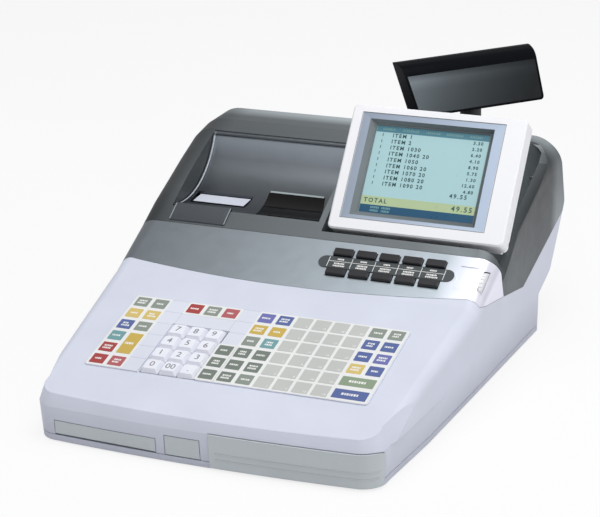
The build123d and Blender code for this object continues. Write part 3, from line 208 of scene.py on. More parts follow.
def finish(name, colour, rough=0.5, metallic=0.0, vary=0.03, grain=0.02, grain_scale=1800.0, edge=0.4,
           specular=0.5, flake=0.0, brushed=None, glow=0.0, shade=(), painted_sheen=None):
    """A moulded, painted or metal surface: slow colour drift, patchy gloss, fine grain and soft edges.

    Grain is the depth of the grain, and edge the radius of the soft edges.
    Brushed stretches the grain and the gloss along the axes.
    Shade holds (direction, stops) pairs. They make the colour lighter or darker along the machine, to
    imitate how light and reflections lie on it; they stay with the machine and are no part of its paint.
    The painted sheen is (colour, direction, stops): a second colour that comes in along the machine as a
    painted reflection, to the same end.
    """
    n = Nodes(name)
    shader = n.shader
    drift = n.noise(DRIFT_SCALE, DRIFT_DETAIL)
    base = n.mix(n.ranged(drift, 0.0, 1.0), scaled(colour, 1 - vary), scaled(colour, 1 + vary))
    if flake:
        specks = n.ranged(n.noise(FLAKE_SCALE, FLAKE_DETAIL), 0.0, 1.0, FLAKE_START, FLAKE_END)
        base = n.mix(specks, base, scaled(colour, 1 + flake))
    for direction, stops in shade:
        base = n.times(base, n.along(direction, stops))
    # painted sheen: a pale colour mixed in along the machine where a reflection lies
    if painted_sheen:
        second, direction, stops = painted_sheen
        base = n.mix(n.along(direction, stops), base, second)
    n.link(base, shader, "Base Color")
    patches = n.noise(PATCH_SCALE, PATCH_DETAIL, brushed)
    n.link(n.ranged(patches, rough - PATCH_VARY, rough + PATCH_VARY), shader, "Roughness")
    shader.inputs["Metallic"].default_value = metallic
    shader.inputs["Specular IOR Level"].default_value = specular
    bump = n.add("ShaderNodeBump", Strength=1.0, Distance=grain * MM)
    n.link(n.noise(grain_scale, stretch=brushed), bump, "Height")
    if edge:
        bevel = n.add("ShaderNodeBevel", Radius=edge * MM, samples=EDGE_SAMPLES)
        n.link(bevel.outputs["Normal"], bump, "Normal")
    n.link(bump.outputs["Normal"], shader, "Normal")
    if glow:
        n.link(base, shader, "Emission Color")
        shader.inputs["Emission Strength"].default_value = glow
    return n.material


def smoked(name, colour, opacity, specular=0.16, polish=0.004):
    """Dark tinted plastic window, with faint polishing marks."""
    n = Nodes(name)
    drift = n.ranged(n.noise(20.0), 0.0, 1.0)
    n.link(n.mix(drift, colour, scaled(colour, 1.5)), n.shader, "Base Color")
    n.link(n.ranged(n.noise(140.0, 4.0), 0.06, 0.12), n.shader, "Roughness")
    n.shader.inputs["Alpha"].default_value = opacity
    n.shader.inputs["Specular IOR Level"].default_value = specular
    bump = n.add("ShaderNodeBump", Strength=1.0, Distance=polish * MM)
    n.link(n.noise(60.0), bump, "Height")
    n.link(bump.outputs["Normal"], n.shader, "Normal")
    return n.material


def circuit(name, bare=(0.015, 0.10, 0.045), over_copper=(0.03, 0.19, 0.08), relief=0.03):
    """Green solder resist, paler where it covers copper tracks."""
    n = Nodes(name)
    tracks = n.noise(160.0, 0.0, (1.0, 9.0, 1.0))
    n.link(n.mix(n.ranged(tracks, 0.0, 1.0, 0.5, 0.53), bare, over_copper), n.shader, "Base Color")
    n.link(n.ranged(n.noise(300.0), 0.25, 0.4), n.shader, "Roughness")
    bump = n.add("ShaderNodeBump", Strength=1.0, Distance=relief * MM)
    n.link(tracks, bump, "Height")
    n.link(bump.outputs["Normal"], n.shader, "Normal")
    return n.material


# ------------------------------------------------------------------ shades along the machine
# Each imitates the light on one material, with a direction and its stops of (distance in metres, factor).
ACROSS, BACK, RISE = (1, 0, 0), (0, 1, 0), (0, 0, 1)
UP_RIGHT = (math.sqrt(0.5), 0, math.sqrt(0.5))


def back_of_zero(stops):
    """Stops whose distances run back from the drawing's zero."""
    return tuple((distance - SHIFT, factor) for distance, factor in stops)


LOW_SHADE = (RISE, ((0.008, 0.8), (0.045, 1.0)))
FASCIA_ACROSS = (ACROSS, ((-0.19, 0.5), (-0.03, 0.85), (0.14, 1.25), (0.17, 1.5)))
HOOD_ACROSS = (ACROSS, ((-0.185, 0.25), (-0.15, 0.75), (0.02, 1.1), (0.165, 1.15), (0.184, 1.0),
                        (0.194, 0.48)))
HOOD_BACK = (BACK, back_of_zero(((0.08, 0.78), (0.11, 1.0), (0.2, 0.8), (0.235, 0.9), (0.255, 2.8))))
HOOD_CORNER = (UP_RIGHT, ((0.17, 1.0), (0.2, 1.35), (0.225, 1.05), (0.247, 0.68), (0.265, 0.6)))
LID_RISE = (RISE, ((0.132, 0.3), (0.15, 0.42), (0.165, 0.6), (0.183, 1.3), (0.1855, 0.45)))
LID_ACROSS = (ACROSS, ((-0.1611, 1.6), (-0.1605, 0.85), (-0.01, 1.05)))
WINDOW_RISE = (RISE, ((0.226, 0.7), (0.246, 0.75), (0.254, 1.0), (0.259, 0.6)))
WINDOW_ACROSS = (ACROSS, ((0.05, 1.75), (0.064, 1.4), (0.082, 0.9), (0.1, 0.6), (0.118, 0.4), (0.137, 0.24),
                          (0.155, 0.13)))
LINER_ACROSS = (ACROSS, ((0.02, 0.85), (0.17, 1.45)))
LINER_WALL_ACROSS = (ACROSS, ((0.03, 1.15), (0.155, 0.7)))
FASCIA_PAINTED_SHEEN = ((0.90, 0.90, 1.0), ACROSS, ((0.145, 0.0), (0.175, 1.0)))     # painted sheen at the fascia's right end; its colour comes first

# ------------------------------------------------------------------ the materials
WHITE = (0.62, 0.645, 0.745)
SILVER = dict(rough=0.34, metallic=0.7, flake=0.12, vary=0.01)
FILM = dict(edge=0.3, grain=0.01)
STRIP_FINISH = dict(rough=0.3, edge=0.1)
FINISHES = {
    "case_white": (WHITE, dict(rough=0.42, edge=0.9, shade=[LOW_SHADE])),
    "pan_white": (WHITE, dict(rough=0.45, edge=0.3, shade=[LOW_SHADE])),
    # cover_grey: a slightly greyer plastic than WHITE, made darker still as painted shade of the front
    "cover_grey": ((0.50, 0.54, 0.56), dict(rough=0.45)),
    "fascia_silver": ((0.40, 0.45, 0.49), dict(SILVER, shade=[FASCIA_ACROSS], painted_sheen=FASCIA_PAINTED_SHEEN)),
    "hood_grey": ((0.165, 0.185, 0.195), dict(rough=0.42, metallic=0.35, flake=0.12, vary=0.01, specular=0.3,
                                              shade=[HOOD_ACROSS, HOOD_BACK, HOOD_CORNER])),
    "lid_grey": ((0.30, 0.335, 0.37), dict(SILVER, shade=[LID_RISE, LID_ACROSS])),
    "screen_white": ((0.86, 0.86, 0.885), dict(rough=0.35, grain=0.01, vary=0.015)),
    "screen_grey": ((0.13, 0.145, 0.14), dict(edge=0.3)),
    "lcd": ((0.31, 0.48, 0.505), dict(rough=0.3, edge=0.0, grain=0.004, glow=0.25, vary=0.008)),
    "black_gloss": ((0.004, 0.0045, 0.006), dict(rough=0.18, edge=1.2, grain=0.006, specular=0.04)),
    "black_matte": ((0.025, 0.026, 0.028), dict()),
    "display_gloss": ((0.10, 0.118, 0.13), dict(rough=0.12, edge=0.0, grain=0.003, vary=0.01, specular=0.3,
                                                shade=[WINDOW_RISE, WINDOW_ACROSS])),
    "key_white": ((0.78, 0.79, 0.86), dict(rough=0.38, grain=0.01)),
    "key_black": ((0.012, 0.012, 0.014), dict(rough=0.3, grain=0.01)),
    "keyboard_film": ((0.66, 0.685, 0.77), dict(FILM, rough=0.36)),
    "label_film": ((0.055, 0.065, 0.07), dict(FILM, rough=0.25)),
    "steel": ((0.55, 0.56, 0.58), dict(rough=0.3, metallic=1.0, brushed=(1.0, 12.0, 12.0))),
    "rubber": ((0.02, 0.02, 0.021), dict(rough=0.75, grain=0.06, grain_scale=900.0)),
    "paper": ((0.60, 0.63, 0.72), dict(rough=0.8, grain=0.03, grain_scale=700.0, edge=0.0)),
    "strip_grey": ((0.33, 0.38, 0.39), dict(STRIP_FINISH, rough=0.35)),
    # painted highlights: pale strips where light catches the lid's rib and the ends of its front tab
    "pale_painted_highlight": ((0.56, 0.60, 0.66), STRIP_FINISH),
    "grey_painted_highlight": ((0.27, 0.30, 0.33), STRIP_FINISH),
    "liner": ((0.325, 0.385, 0.48), dict(rough=0.4, edge=0.2, grain=0.01, shade=[LINER_ACROSS])),
    "liner_wall": ((0.15, 0.175, 0.185), dict(rough=0.45, edge=0.2, grain=0.01, shade=[LINER_WALL_ACROSS])),
}
MATERIALS = {name: finish(name, colour, **options) for name, (colour, options) in FINISHES.items()}
MATERIALS["smoked"] = smoked("smoked", (0.003, 0.0027, 0.0027), 0.985)
MATERIALS["board"] = circuit("board")

KEY_INK = dict(rough=0.36, edge=0.2, grain=0.01)
LETTER_INK = dict(rough=0.4, edge=0.0, grain=0.01)
SCREEN_INK = dict(rough=0.3, edge=0.0, grain=0.004)
SCREEN_FIELD = dict(SCREEN_INK, glow=0.25)
INKS = {
    "ink_cream": ((0.76, 0.765, 0.76), KEY_INK),
    "ink_sage": ((0.235, 0.27, 0.235), KEY_INK),
    "ink_dark_sage": ((0.16, 0.19, 0.165), KEY_INK),
    "ink_pale": ((0.50, 0.51, 0.49), KEY_INK),
    "ink_yellow": ((0.62, 0.47, 0.15), KEY_INK),
    "ink_gold": ((0.55, 0.39, 0.075), KEY_INK),
    "ink_blue": ((0.085, 0.125, 0.32), KEY_INK),
    "ink_violet": ((0.14, 0.15, 0.40), KEY_INK),
    "ink_teal": ((0.15, 0.32, 0.34), KEY_INK),
    "ink_red": ((0.36, 0.045, 0.045), KEY_INK),
    "ink_pink": ((0.42, 0.10, 0.11), KEY_INK),
    "ink_green": ((0.24, 0.31, 0.21), KEY_INK),
    "ink_white": ((0.80, 0.80, 0.78), LETTER_INK),
    "ink_grey": ((0.13, 0.13, 0.15), LETTER_INK),
    "ink_line": ((0.45, 0.47, 0.55), LETTER_INK),
    "lcd_dark": ((0.03, 0.085, 0.09), SCREEN_INK),
    "lcd_head": ((0.055, 0.17, 0.22), SCREEN_FIELD),
    "lcd_strip": ((0.34, 0.43, 0.25), SCREEN_FIELD),
    "lcd_foot": ((0.008, 0.065, 0.13), SCREEN_FIELD),
}
INK = {name.removeprefix("ink_"): finish(name, colour, **options) for name, (colour, options) in INKS.items()}

OWN_FINISH = {"base_pan": "pan_white", "customer_window": "display_gloss", "contrast_dial": "screen_white"}


def finish_nodes():
    """Gives each CAD node the material of its slot, or its own one."""
    for item in frame["record"]["subparts"]:
        mesh = frame["nodes"][item["node"]].data
        mesh.materials.clear()
        mesh.materials.append(MATERIALS[OWN_FINISH.get(item["node"], item["material_slot"])])


# ------------------------------------------------------------------ small printed and raised pieces
CORNERS = ((1, 1), (-1, 1), (-1, -1), (1, -1))
CORNER_STEPS, LEAST_RADIUS = 3, 0.02
# The widths of a caption's blocks, the least room left for one, and the gap are shares of its height.
BLOCK_WIDTHS = (0.45, 0.6, 0.3, 0.55, 0.7)
LEAST_ROOM, BLOCK_GAP = 0.3, 0.22
BLOCK_DEPTH = 0.06
CAPITAL = 0.7                        # a capital's height as a share of the font's size
LETTER_DEPTH, LETTER_STEPS = 0.05, 3
SHEET = 0.1                          # how thick a thin sheet is


def rounded(width, height, radius):
    """Points round a rectangle with round corners, about its middle."""
    points = []
    for k, (side, end) in enumerate(CORNERS):
        for step in range(CORNER_STEPS + 1):
            turn = math.pi / 2 * (k + step / CORNER_STEPS)
            points.append((side * (width / 2 - radius) + radius * math.cos(turn),
                           end * (height / 2 - radius) + radius * math.sin(turn)))
    return points


def walls(bm, rings):
    """Faces between each closed ring of vertices and the next one."""
    faces = []
    for below, above in zip(rings, rings[1:]):
        for k in range(len(below)):
            after = (k + 1) % len(below)
            faces.append(bm.faces.new((below[k], below[after], above[after], above[k])))
    return faces


def tile(bm, surface, u, v, width, height, low, high, radius, lip=0.08, index=0):
    """Adds a raised plate with a slightly chamfered upper edge."""
    rings = []
    for grow, n in ((0.0, low), (0.0, high - lip), (-lip, high)):
        outline = rounded(width + 2 * grow, height + 2 * grow, max(radius + grow, LEAST_RADIUS))
        rings.append([bm.verts.new(surface.at(u + across, v + along, n)) for across, along in outline])
    top = bm.faces.new(rings[-1])
    for face in [top] + walls(bm, rings):
        face.material_index = index


def dashes(bm, surface, u, v, width, height, n, first=0):
    """A short row of plain blocks, as a caption looks from a distance; first picks the first width."""
    left, k = u - width / 2, first
    while left < u + width / 2 - LEAST_ROOM * height:
        block = height * BLOCK_WIDTHS[k % len(BLOCK_WIDTHS)]
        top = [bm.verts.new(surface.at(left + across * block, v + along * height / 2, n))
               for across, along in ((0, -1), (1, -1), (1, 1), (0, 1))]
        base = [bm.verts.new(vert.co - surface.n * BLOCK_DEPTH * MM) for vert in top]
        bm.faces.new(top)
        walls(bm, (base, top))
        left += block + BLOCK_GAP * height
        k += 1


def piece(name, bm, materials, body):
    """Makes the mesh an object that rides on a body."""
    mesh = bpy.data.meshes.new(name)
    bmesh.ops.recalc_face_normals(bm, faces=bm.faces)
    bm.to_mesh(mesh)
    bm.free()
    for material in materials:
        mesh.materials.append(material)
    made = bpy.data.objects.new(name, mesh)
    bpy.context.scene.collection.objects.link(made)
    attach(made, body)
    return made


def thicken(made):
    made.modifiers.new("thickness", "SOLIDIFY").thickness = SHEET * MM


def lettering(name, rows, surface, material, body, spacing=1.0, bold=0.0):
    """Raised figures joined to one mesh; rows are (text, u, v, n, height, align)."""
    bm = bmesh.new()
    for text, u, v, n, height, align in rows:
        curve = bpy.data.curves.new(name, "FONT")
        curve.body = text
        curve.size = height * MM / CAPITAL
        curve.align_x = align
        curve.align_y = "CENTER"
        curve.extrude = LETTER_DEPTH * MM
        curve.resolution_u = LETTER_STEPS
        curve.space_character = spacing
        curve.offset = bold * MM
        holder = bpy.data.objects.new(name, curve)
        mesh = bpy.data.meshes.new_from_object(holder)
        mesh.transform(surface.matrix(u, v, n))
        bm.from_mesh(mesh)
        bpy.data.objects.remove(holder)
        bpy.data.curves.remove(curve)
        bpy.data.meshes.remove(mesh)
    piece(name, bm, [material], body)


# ------------------------------------------------------------------ keyboard film
PITCH_U, PITCH_V, COLUMNS, ROWS = 19.0, 19.3, 15, 6
FILM_TOP = 1.2
PAD_TOP = FILM_TOP + 0.25
CELL_TOP = PAD_TOP + 0.25
MARK_TOP = CELL_TOP + 0.05
SINK = 0.05                          # how far a plate reaches into what carries it
PAD_GROUPS = ((1, 1, 2, 6), (4, 1, 3, 1), (8, 1, 8, 6), (7, 4, 1, 3))      # column, row, columns, rows
PAD_MARGIN, PAD_ROUND = 0.6, 1.0
CELL_W, CELL_H, CELL_ROUND = 14.8, 14.6, 0.8
CAPTION_W, CAPTION_H, CAPTION_STEP = 6.5, 2.4, 3.8
WIDE_CELLS = {(2, 4, 1, 2): "gold", (14, 5, 2, 1): "green", (14, 6, 2, 1): "blue"}
WIDE_GAP_U, WIDE_GAP_V, WIDE_ROUND = 4.6, 5.7, 0.5
WIDE_CAPTION_SHARE, WIDE_CAPTION_MOST, WIDE_CAPTION_H = 0.7, 17.0, 3.2
PRICE_FIRST, PRICE_LAST = 10, 13
PRICE_W, PRICE_H = 15.8, 16.2
PRICE_FIGURE_U, PRICE_FIGURE_V, PRICE_FIGURE_H = 6.4, -5.2, 2.6
LINE_W, LINE_RISE, LINE_ROUND, LINE_LIP = 0.35, 0.07, 0.05, 0.03
GRID_LINES = (                       # from one column and row to another; whole numbers are middles of keys
    ((2.5, 0.5), (2.5, 6.5)), ((3.5, 0.5), (3.5, 2.5)), ((6.5, 0.5), (6.5, 3.5)), ((7.5, 0.5), (7.5, 3.5)),
    ((2.5, 0.5), (7.5, 0.5)), ((3.5, 1.5), (7.5, 1.5)), ((2.5, 2.5), (7.5, 2.5)), ((2.5, 1.5), (3.5, 1.5)),
    ((2.5, 3.5), (3.5, 3.5)), ((2.5, 4.5), (3.5, 4.5)), ((2.5, 5.5), (3.5, 5.5)), ((6.5, 3.5), (7.5, 3.5)),
)


def cell(column, row):
    """The middle of a key's place; columns count from the left and rows from the back."""
    return (column - (COLUMNS + 1) / 2) * PITCH_U, ((ROWS + 1) / 2 - row) * PITCH_V


def span(column, row, columns, rows):
    """The middle of a group of places, from its left column and its rear row."""
    u, v = cell(column, row)
    return u + (columns - 1) * PITCH_U / 2, v - (rows - 1) * PITCH_V / 2


def build_pads():
    pads = bmesh.new()
    for column, row, columns, rows in PAD_GROUPS:
        u, v = span(column, row, columns, rows)
        tile(pads, DECK, u, v, columns * PITCH_U + PAD_MARGIN, rows * PITCH_V + PAD_MARGIN,
             FILM_TOP - 2 * SINK, PAD_TOP, PAD_ROUND)
    piece("keyboard_pads", pads, [INK["cream"]], "case")


def cell_inks():
    """The ink of each single coloured cell, by its column and row."""
    inks = {
        (1, 1): "sage", (2, 1): "sage", (1, 2): "yellow", (2, 2): "yellow", (1, 3): "blue", (2, 3): "sage",
        (1, 4): "teal", (1, 5): "red", (1, 6): "red", (2, 6): "pink",
        (4, 1): "red", (5, 1): "sage", (6, 1): "pink",
        (8, 1): "violet", (9, 1): "blue", (8, 2): "gold", (9, 2): "gold", (8, 3): "sage", (9, 3): "teal",
        (14, 1): "sage", (15, 1): "sage", (14, 2): "blue", (15, 2): "blue", (14, 3): "blue",
        (15, 3): "violet", (14, 4): "yellow", (15, 4): "blue",
    }
    for column in (7, 8, 9):
        for row in (4, 5, 6):
            inks[(column, row)] = "dark_sage"
    inks[(9, 6)] = "sage"
    return inks


def build_cells():
    """Coloured cells with captions, wide cells, and pale cells with a number in the lower corner."""
    inks = cell_inks()
    names = sorted(set(inks.values()) | set(WIDE_CELLS.values()) | {"pale"})
    cells, marks = bmesh.new(), bmesh.new()
    for (column, row), ink in inks.items():
        u, v = cell(column, row)
        tile(cells, DECK, u, v, CELL_W, CELL_H, PAD_TOP - SINK, CELL_TOP, CELL_ROUND, index=names.index(ink))
        count = 2 - (column + row) % 2
        for k in range(count):
            width = CAPTION_W + (column * 7 + row * 3 + k) % 4
            line_v = v + (CAPTION_STEP / 2 - CAPTION_STEP * k if count == 2 else 0.0)
            dashes(marks, DECK, u, line_v, width, CAPTION_H, MARK_TOP, column + row + k)
    for (column, row, columns, rows), ink in WIDE_CELLS.items():
        u, v = span(column, row, columns, rows)
        width, height = columns * PITCH_U - WIDE_GAP_U, rows * PITCH_V - WIDE_GAP_V
        tile(cells, DECK, u, v, width, height, PAD_TOP - SINK, CELL_TOP, WIDE_ROUND, index=names.index(ink))
        caption = min(width * WIDE_CAPTION_SHARE, WIDE_CAPTION_MOST)
        dashes(marks, DECK, u, v, caption, WIDE_CAPTION_H, MARK_TOP, column)
    figures = []
    for column in range(PRICE_FIRST, PRICE_LAST + 1):
        for row in range(1, ROWS + 1):
            u, v = cell(column, row)
            tile(cells, DECK, u, v, PRICE_W, PRICE_H, PAD_TOP - SINK, CELL_TOP, WIDE_ROUND,
                 index=names.index("pale"))
            number = (column - PRICE_FIRST) * ROWS + ROWS + 1 - row
            figures.append((str(number), u + PRICE_FIGURE_U, v + PRICE_FIGURE_V, CELL_TOP, PRICE_FIGURE_H,
                            "RIGHT"))
    piece("keyboard_cells", cells, [INK[name] for name in names], "case")
    piece("keyboard_marks", marks, [INK["white"]], "case")
    lettering("keyboard_figures", figures, DECK, INK["white"], "case")


def build_grid_lines():
    lines = bmesh.new()
    for start, end in GRID_LINES:
        (u0, v0), (u1, v1) = cell(*start), cell(*end)
        tile(lines, DECK, (u0 + u1) / 2, (v0 + v1) / 2, abs(u1 - u0) + LINE_W, abs(v1 - v0) + LINE_W,
             FILM_TOP - SINK, FILM_TOP + LINE_RISE, LINE_ROUND, LINE_LIP)
    piece("keyboard_lines", lines, [INK["line"]], "case")


# ------------------------------------------------------------------ figures on the number keys
KEY_TOP, KEY_FIGURE_H = 4.2, 7.2
NUMBER_COLUMN, NUMBER_ROW = 4, 3     # where the 7 stands
NUMBER_KEYS = (("7", "8", "9"), ("4", "5", "6"), ("1", "2", "3"), ("0", "00", "point"))


def build_key_figures():
    for row, keys in enumerate(NUMBER_KEYS, NUMBER_ROW):
        for column, key in enumerate(keys, NUMBER_COLUMN):
            u, v = cell(column, row)
            text = "." if key == "point" else key
            lettering("figure_" + key, [(text, u, v, KEY_TOP, KEY_FIGURE_H, "CENTER")], DECK, INK["grey"],
                      "number_key_" + key + "_cap")


# ------------------------------------------------------------------ print on the label strip
STRIP_TOP = 0.8
STRIP_PRINT_TOP = STRIP_TOP + 0.06
STRIP_ROUND, STRIP_LIP = 0.1, 0.02
KEY_STEP, FIRST_KEY, KEY_COUNT = 24.1, 39.5, 5
STRIP_BAR_W, STRIP_BAR_H = 0.6, 12.6
STRIP_RULE_V, STRIP_RULE_H = 1.2, 0.5
STRIP_CAPTION_H = 1.9
STRIP_CAPTIONS = ((4.0, 7.0), (-1.6, 11.0), (-4.5, 12.0))                  # v and width


def build_strip_print():
    """White bars between the keys' fields, a rule across them, and three captions in each."""
    strip = bmesh.new()
    for k in range(KEY_COUNT + 1):
        tile(strip, FASCIA, FIRST_KEY + (k - 0.5) * KEY_STEP, 0, STRIP_BAR_W, STRIP_BAR_H, STRIP_TOP - SINK,
             STRIP_PRINT_TOP, STRIP_ROUND, STRIP_LIP)
    tile(strip, FASCIA, FIRST_KEY + (KEY_COUNT - 1) / 2 * KEY_STEP, STRIP_RULE_V, KEY_COUNT * KEY_STEP,
         STRIP_RULE_H, STRIP_TOP - SINK, STRIP_PRINT_TOP, STRIP_ROUND, STRIP_LIP)
    for k in range(KEY_COUNT):
        for row, (v, width) in enumerate(STRIP_CAPTIONS):
            dashes(strip, FASCIA, FIRST_KEY + k * KEY_STEP, v, width, STRIP_CAPTION_H, STRIP_PRINT_TOP,
                   k + row)
    piece("strip_print", strip, [INK["white"]], "case")


# ------------------------------------------------------------------ picture on the operator screen
# FIELD_LOW, FIELD_HIGH and the names in _N are heights above the screen's plane.
HALF_W, PICTURE_LOW, PICTURE_HIGH = 60.0, -45.0, 47.8
HEADER_V, SUM_V, TOTAL_V, FOOTER_V = PICTURE_HIGH - 3.3, -19.0, -31.8, -40.7
FIELDS = (                           # name, ink, v and height
    ("screen_header", "lcd_head", HEADER_V, 6.4),
    ("screen_total", "lcd_strip", TOTAL_V, 9.2),
    ("screen_footer", "lcd_foot", FOOTER_V, 8.6),
)
FIELD_LOW, FIELD_HIGH, FIELD_ROUND, FIELD_LIP = -0.02, 0.12, 0.05, 0.02
FIELD_MARGIN = 0.6
TEXT_N, TOTAL_N, MARK_N = 0.05, 0.1, 0.16
TEXT_SPACING, TEXT_BOLD = 1.35, 0.16
COUNT_U, ITEM_U, PRICE_U = -HALF_W + 8.0, -HALF_W + 18.5, HALF_W - 6.0
COUNT_H, ITEM_H, PRICE_TEXT_H = 2.8, 3.9, 3.2
SUM_U, TOTAL_LEFT, TOTAL_RIGHT = HALF_W - 11.0, -HALF_W + 3.0, HALF_W - 3.0
SUM_H, TOTAL_H = 4.4, 5.2
ITEMS = (("1", 3.50), ("2", 2.20), ("1030", 6.40), ("1040 20", 4.10), ("1050", 8.90), ("1060 20", 5.75),
         ("1070 20", 1.30), ("1080 20", 12.60), ("1090 20", 4.80))
FIRST_ITEM_V, ITEM_STEP = PICTURE_HIGH - 9.6, 6.45
HEADER_MARKS, HEADER_FIRST, HEADER_STEP = 5, 14.0, 23.0
HEADER_MARK_W, HEADER_MARK_MORE, HEADER_MARK_H = 14.0, 3, 2.6
FOOTER_COLUMNS = (-44.0, -32.0)
FOOTER_ROWS = ((-38.9, 0), (-42.3, 2))                                     # v and the first block
FOOTER_MARK_W, FOOTER_MARK_H = 9.0, 2.2


def money(value):
    return format(value, ".2f")


def build_picture():
    """Three bands, a generic list of items with their sum and total, and plain marks above and below."""
    for name, ink, v, height in FIELDS:
        band = bmesh.new()
        tile(band, SCREEN, 0, v, 2 * HALF_W - FIELD_MARGIN, height, FIELD_LOW, FIELD_HIGH, FIELD_ROUND,
             FIELD_LIP)
        piece(name, band, [INK[ink]], "screen")
    rows = []
    for k, (code, value) in enumerate(ITEMS):
        v = FIRST_ITEM_V - ITEM_STEP * k
        rows.append(("1", COUNT_U, v, TEXT_N, COUNT_H, "CENTER"))
        rows.append(("ITEM " + code, ITEM_U, v, TEXT_N, ITEM_H, "LEFT"))
        rows.append((money(value), PRICE_U, v, TEXT_N, PRICE_TEXT_H, "RIGHT"))
    total = money(sum(value for code, value in ITEMS))
    rows.append((total, SUM_U, SUM_V, TEXT_N, SUM_H, "RIGHT"))
    rows.append(("TOTAL", TOTAL_LEFT, TOTAL_V, TOTAL_N, SUM_H, "LEFT"))
    rows.append((total, TOTAL_RIGHT, TOTAL_V, TOTAL_N, TOTAL_H, "RIGHT"))
    lettering("screen_rows", rows, SCREEN, INK["lcd_dark"], "screen", TEXT_SPACING, TEXT_BOLD)
    marks = bmesh.new()
    for k in range(HEADER_MARKS):
        width = HEADER_MARK_W + HEADER_MARK_MORE * (k % 2)
        dashes(marks, SCREEN, -HALF_W + HEADER_FIRST + HEADER_STEP * k, HEADER_V, width, HEADER_MARK_H,
               MARK_N, k)
    for u in FOOTER_COLUMNS:
        for v, first in FOOTER_ROWS:
            dashes(marks, SCREEN, u, v, FOOTER_MARK_W, FOOTER_MARK_H, MARK_N, first)
    piece("screen_marks", marks, [INK["teal"]], "screen")


# ------------------------------------------------------------------ lining of the screen's bezel
# Rectangles are (left, right, bottom, top) on the screen's plane.
RECESS = (-75.0, 76.0, -55.0, 58.0)
LINER_HOLE = (-66.0, 65.2, -50.8, 51.9)
PICTURE = (-HALF_W, HALF_W, PICTURE_LOW, PICTURE_HIGH)
SURROUND = (-65.8, 63.6, -49.2, 53.6)
BEZEL_FRONT, THROAT = 8.0, 1.95
LINER_OUT, LINER_IN = BEZEL_FRONT - 0.3, BEZEL_FRONT - 0.8
WALL_FOOT = 1.4                      # how far outside the picture the wall ends
SURROUND_LOW, SURROUND_HIGH, SURROUND_SLOPE = 0.3, THROAT - 0.15, 0.3
GROOVE_OUT, GROOVE_IN, GROOVE_TOP = 0.3, -0.2, BEZEL_FRONT + 0.06


def ring(bm, rectangle, grow, n):
    left, right, bottom, top = rectangle
    corners = ((left - grow, bottom - grow), (right + grow, bottom - grow), (right + grow, top + grow),
               (left - grow, top + grow))
    return [bm.verts.new(SCREEN.at(u, v, n)) for u, v in corners]


def band(name, rings, material):
    """A thin sheet through rings, each a (rectangle, growth, n)."""
    bm = bmesh.new()
    walls(bm, [ring(bm, *values) for values in rings])
    made = piece(name, bm, [MATERIALS[material]], "screen")
    thicken(made)
    return made


def build_liner():
    """The recess's grey ring, its sloping wall, the surround of the picture, and a dark line round all."""
    band("bezel_liner", ((RECESS, GROOVE_IN, LINER_OUT), (LINER_HOLE, 0.0, LINER_IN)), "liner")
    band("bezel_wall", ((LINER_HOLE, 0.0, LINER_IN), (PICTURE, WALL_FOOT, THROAT)), "liner_wall")
    surround = band("screen_surround",
                    ((SURROUND, 0.0, SURROUND_LOW), (SURROUND, 0.0, SURROUND_HIGH),
                     (PICTURE, SURROUND_SLOPE, SURROUND_HIGH), (PICTURE, 0.0, SURROUND_LOW)), "liner_wall")
    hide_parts("display_frame")
    band("bezel_line", ((RECESS, GROOVE_OUT, GROOVE_TOP), (RECESS, GROOVE_IN, GROOVE_TOP),
                        (RECESS, GROOVE_IN, LINER_OUT)), "screen_grey")


# ------------------------------------------------------------------ painted highlights and a window edge on the lid
LID_RADIUS, RIB_HEIGHT, LID_AXIS_Y, LID_AXIS_Z = 88.0, 3.0, 110.0, 222.0
PROUD = 0.15                         # how far a strip stands out of the lid's curve
WINDOW_X, WINDOW_Y = (-81.0, -21.0), (146.4, 148.6)
RIB_X, RIB_Y, RIB_STEPS = (-162.3, -160.9), (90.0, 186.0), 24
TAB_LEFT, TAB_RIGHT, TAB_HIGHLIGHT_WIDTH = -160.0, -98.0, 1.1
TAB_LINE = ((68.2, 131.05), (86.5, 142.0))                                 # y and z


def strip_across(name, x0, x1, line, material):
    """A thin strip from x0 to x1 along a line of (y, z) points."""
    bm = bmesh.new()
    rows = [[bm.verts.new(place(x, y, z)) for x in (x0, x1)] for y, z in line]
    for (left, right), (next_left, next_right) in zip(rows, rows[1:]):
        bm.faces.new((left, right, next_right, next_left))
    thicken(piece(name, bm, [MATERIALS[material]], "lid"))


def lid_arc(radius, y0, y1, steps):
    """Points (y, z) just above an arc about the lid's axis."""
    ys = [y0 + (y1 - y0) * k / steps for k in range(steps + 1)]
    return [(y, LID_AXIS_Z - math.sqrt((radius - PROUD) ** 2 - (y - LID_AXIS_Y) ** 2)) for y in ys]


def build_lid_edges():
    """The journal window's grey rear edge, and painted highlights on the rib's top and the tab's ends."""
    strip_across("window_edge", *WINDOW_X, lid_arc(LID_RADIUS, *WINDOW_Y, 1), "strip_grey")
    # painted highlights along the rib's top and at the tab's two ends
    strip_across("rib_painted_highlight", *RIB_X, lid_arc(LID_RADIUS - RIB_HEIGHT, *RIB_Y, RIB_STEPS), "pale_painted_highlight")
    strip_across("tab_painted_highlight_left", TAB_LEFT, TAB_LEFT + TAB_HIGHLIGHT_WIDTH, TAB_LINE, "grey_painted_highlight")
    strip_across("tab_painted_highlight_right", TAB_RIGHT - TAB_HIGHLIGHT_WIDTH, TAB_RIGHT, TAB_LINE, "grey_painted_highlight")


# ------------------------------------------------------------------ stage and light
FLOOR_SIZE = 9.0                     # in metres, like the lamps below
FLOOR_DARK, FLOOR_LIGHT = (0.80, 0.80, 0.81), (0.83, 0.83, 0.84)
FLOOR_ROUGH, FLOOR_SEEN_WHITE = 0.9, 0.82
LIT_SPOT = (0, 0, 0.1)
SKY_COLOUR = (0.97, 0.98, 1.0, 1.0)
SKY_LIGHT, SKY_SEEN = 0.45, 1.0


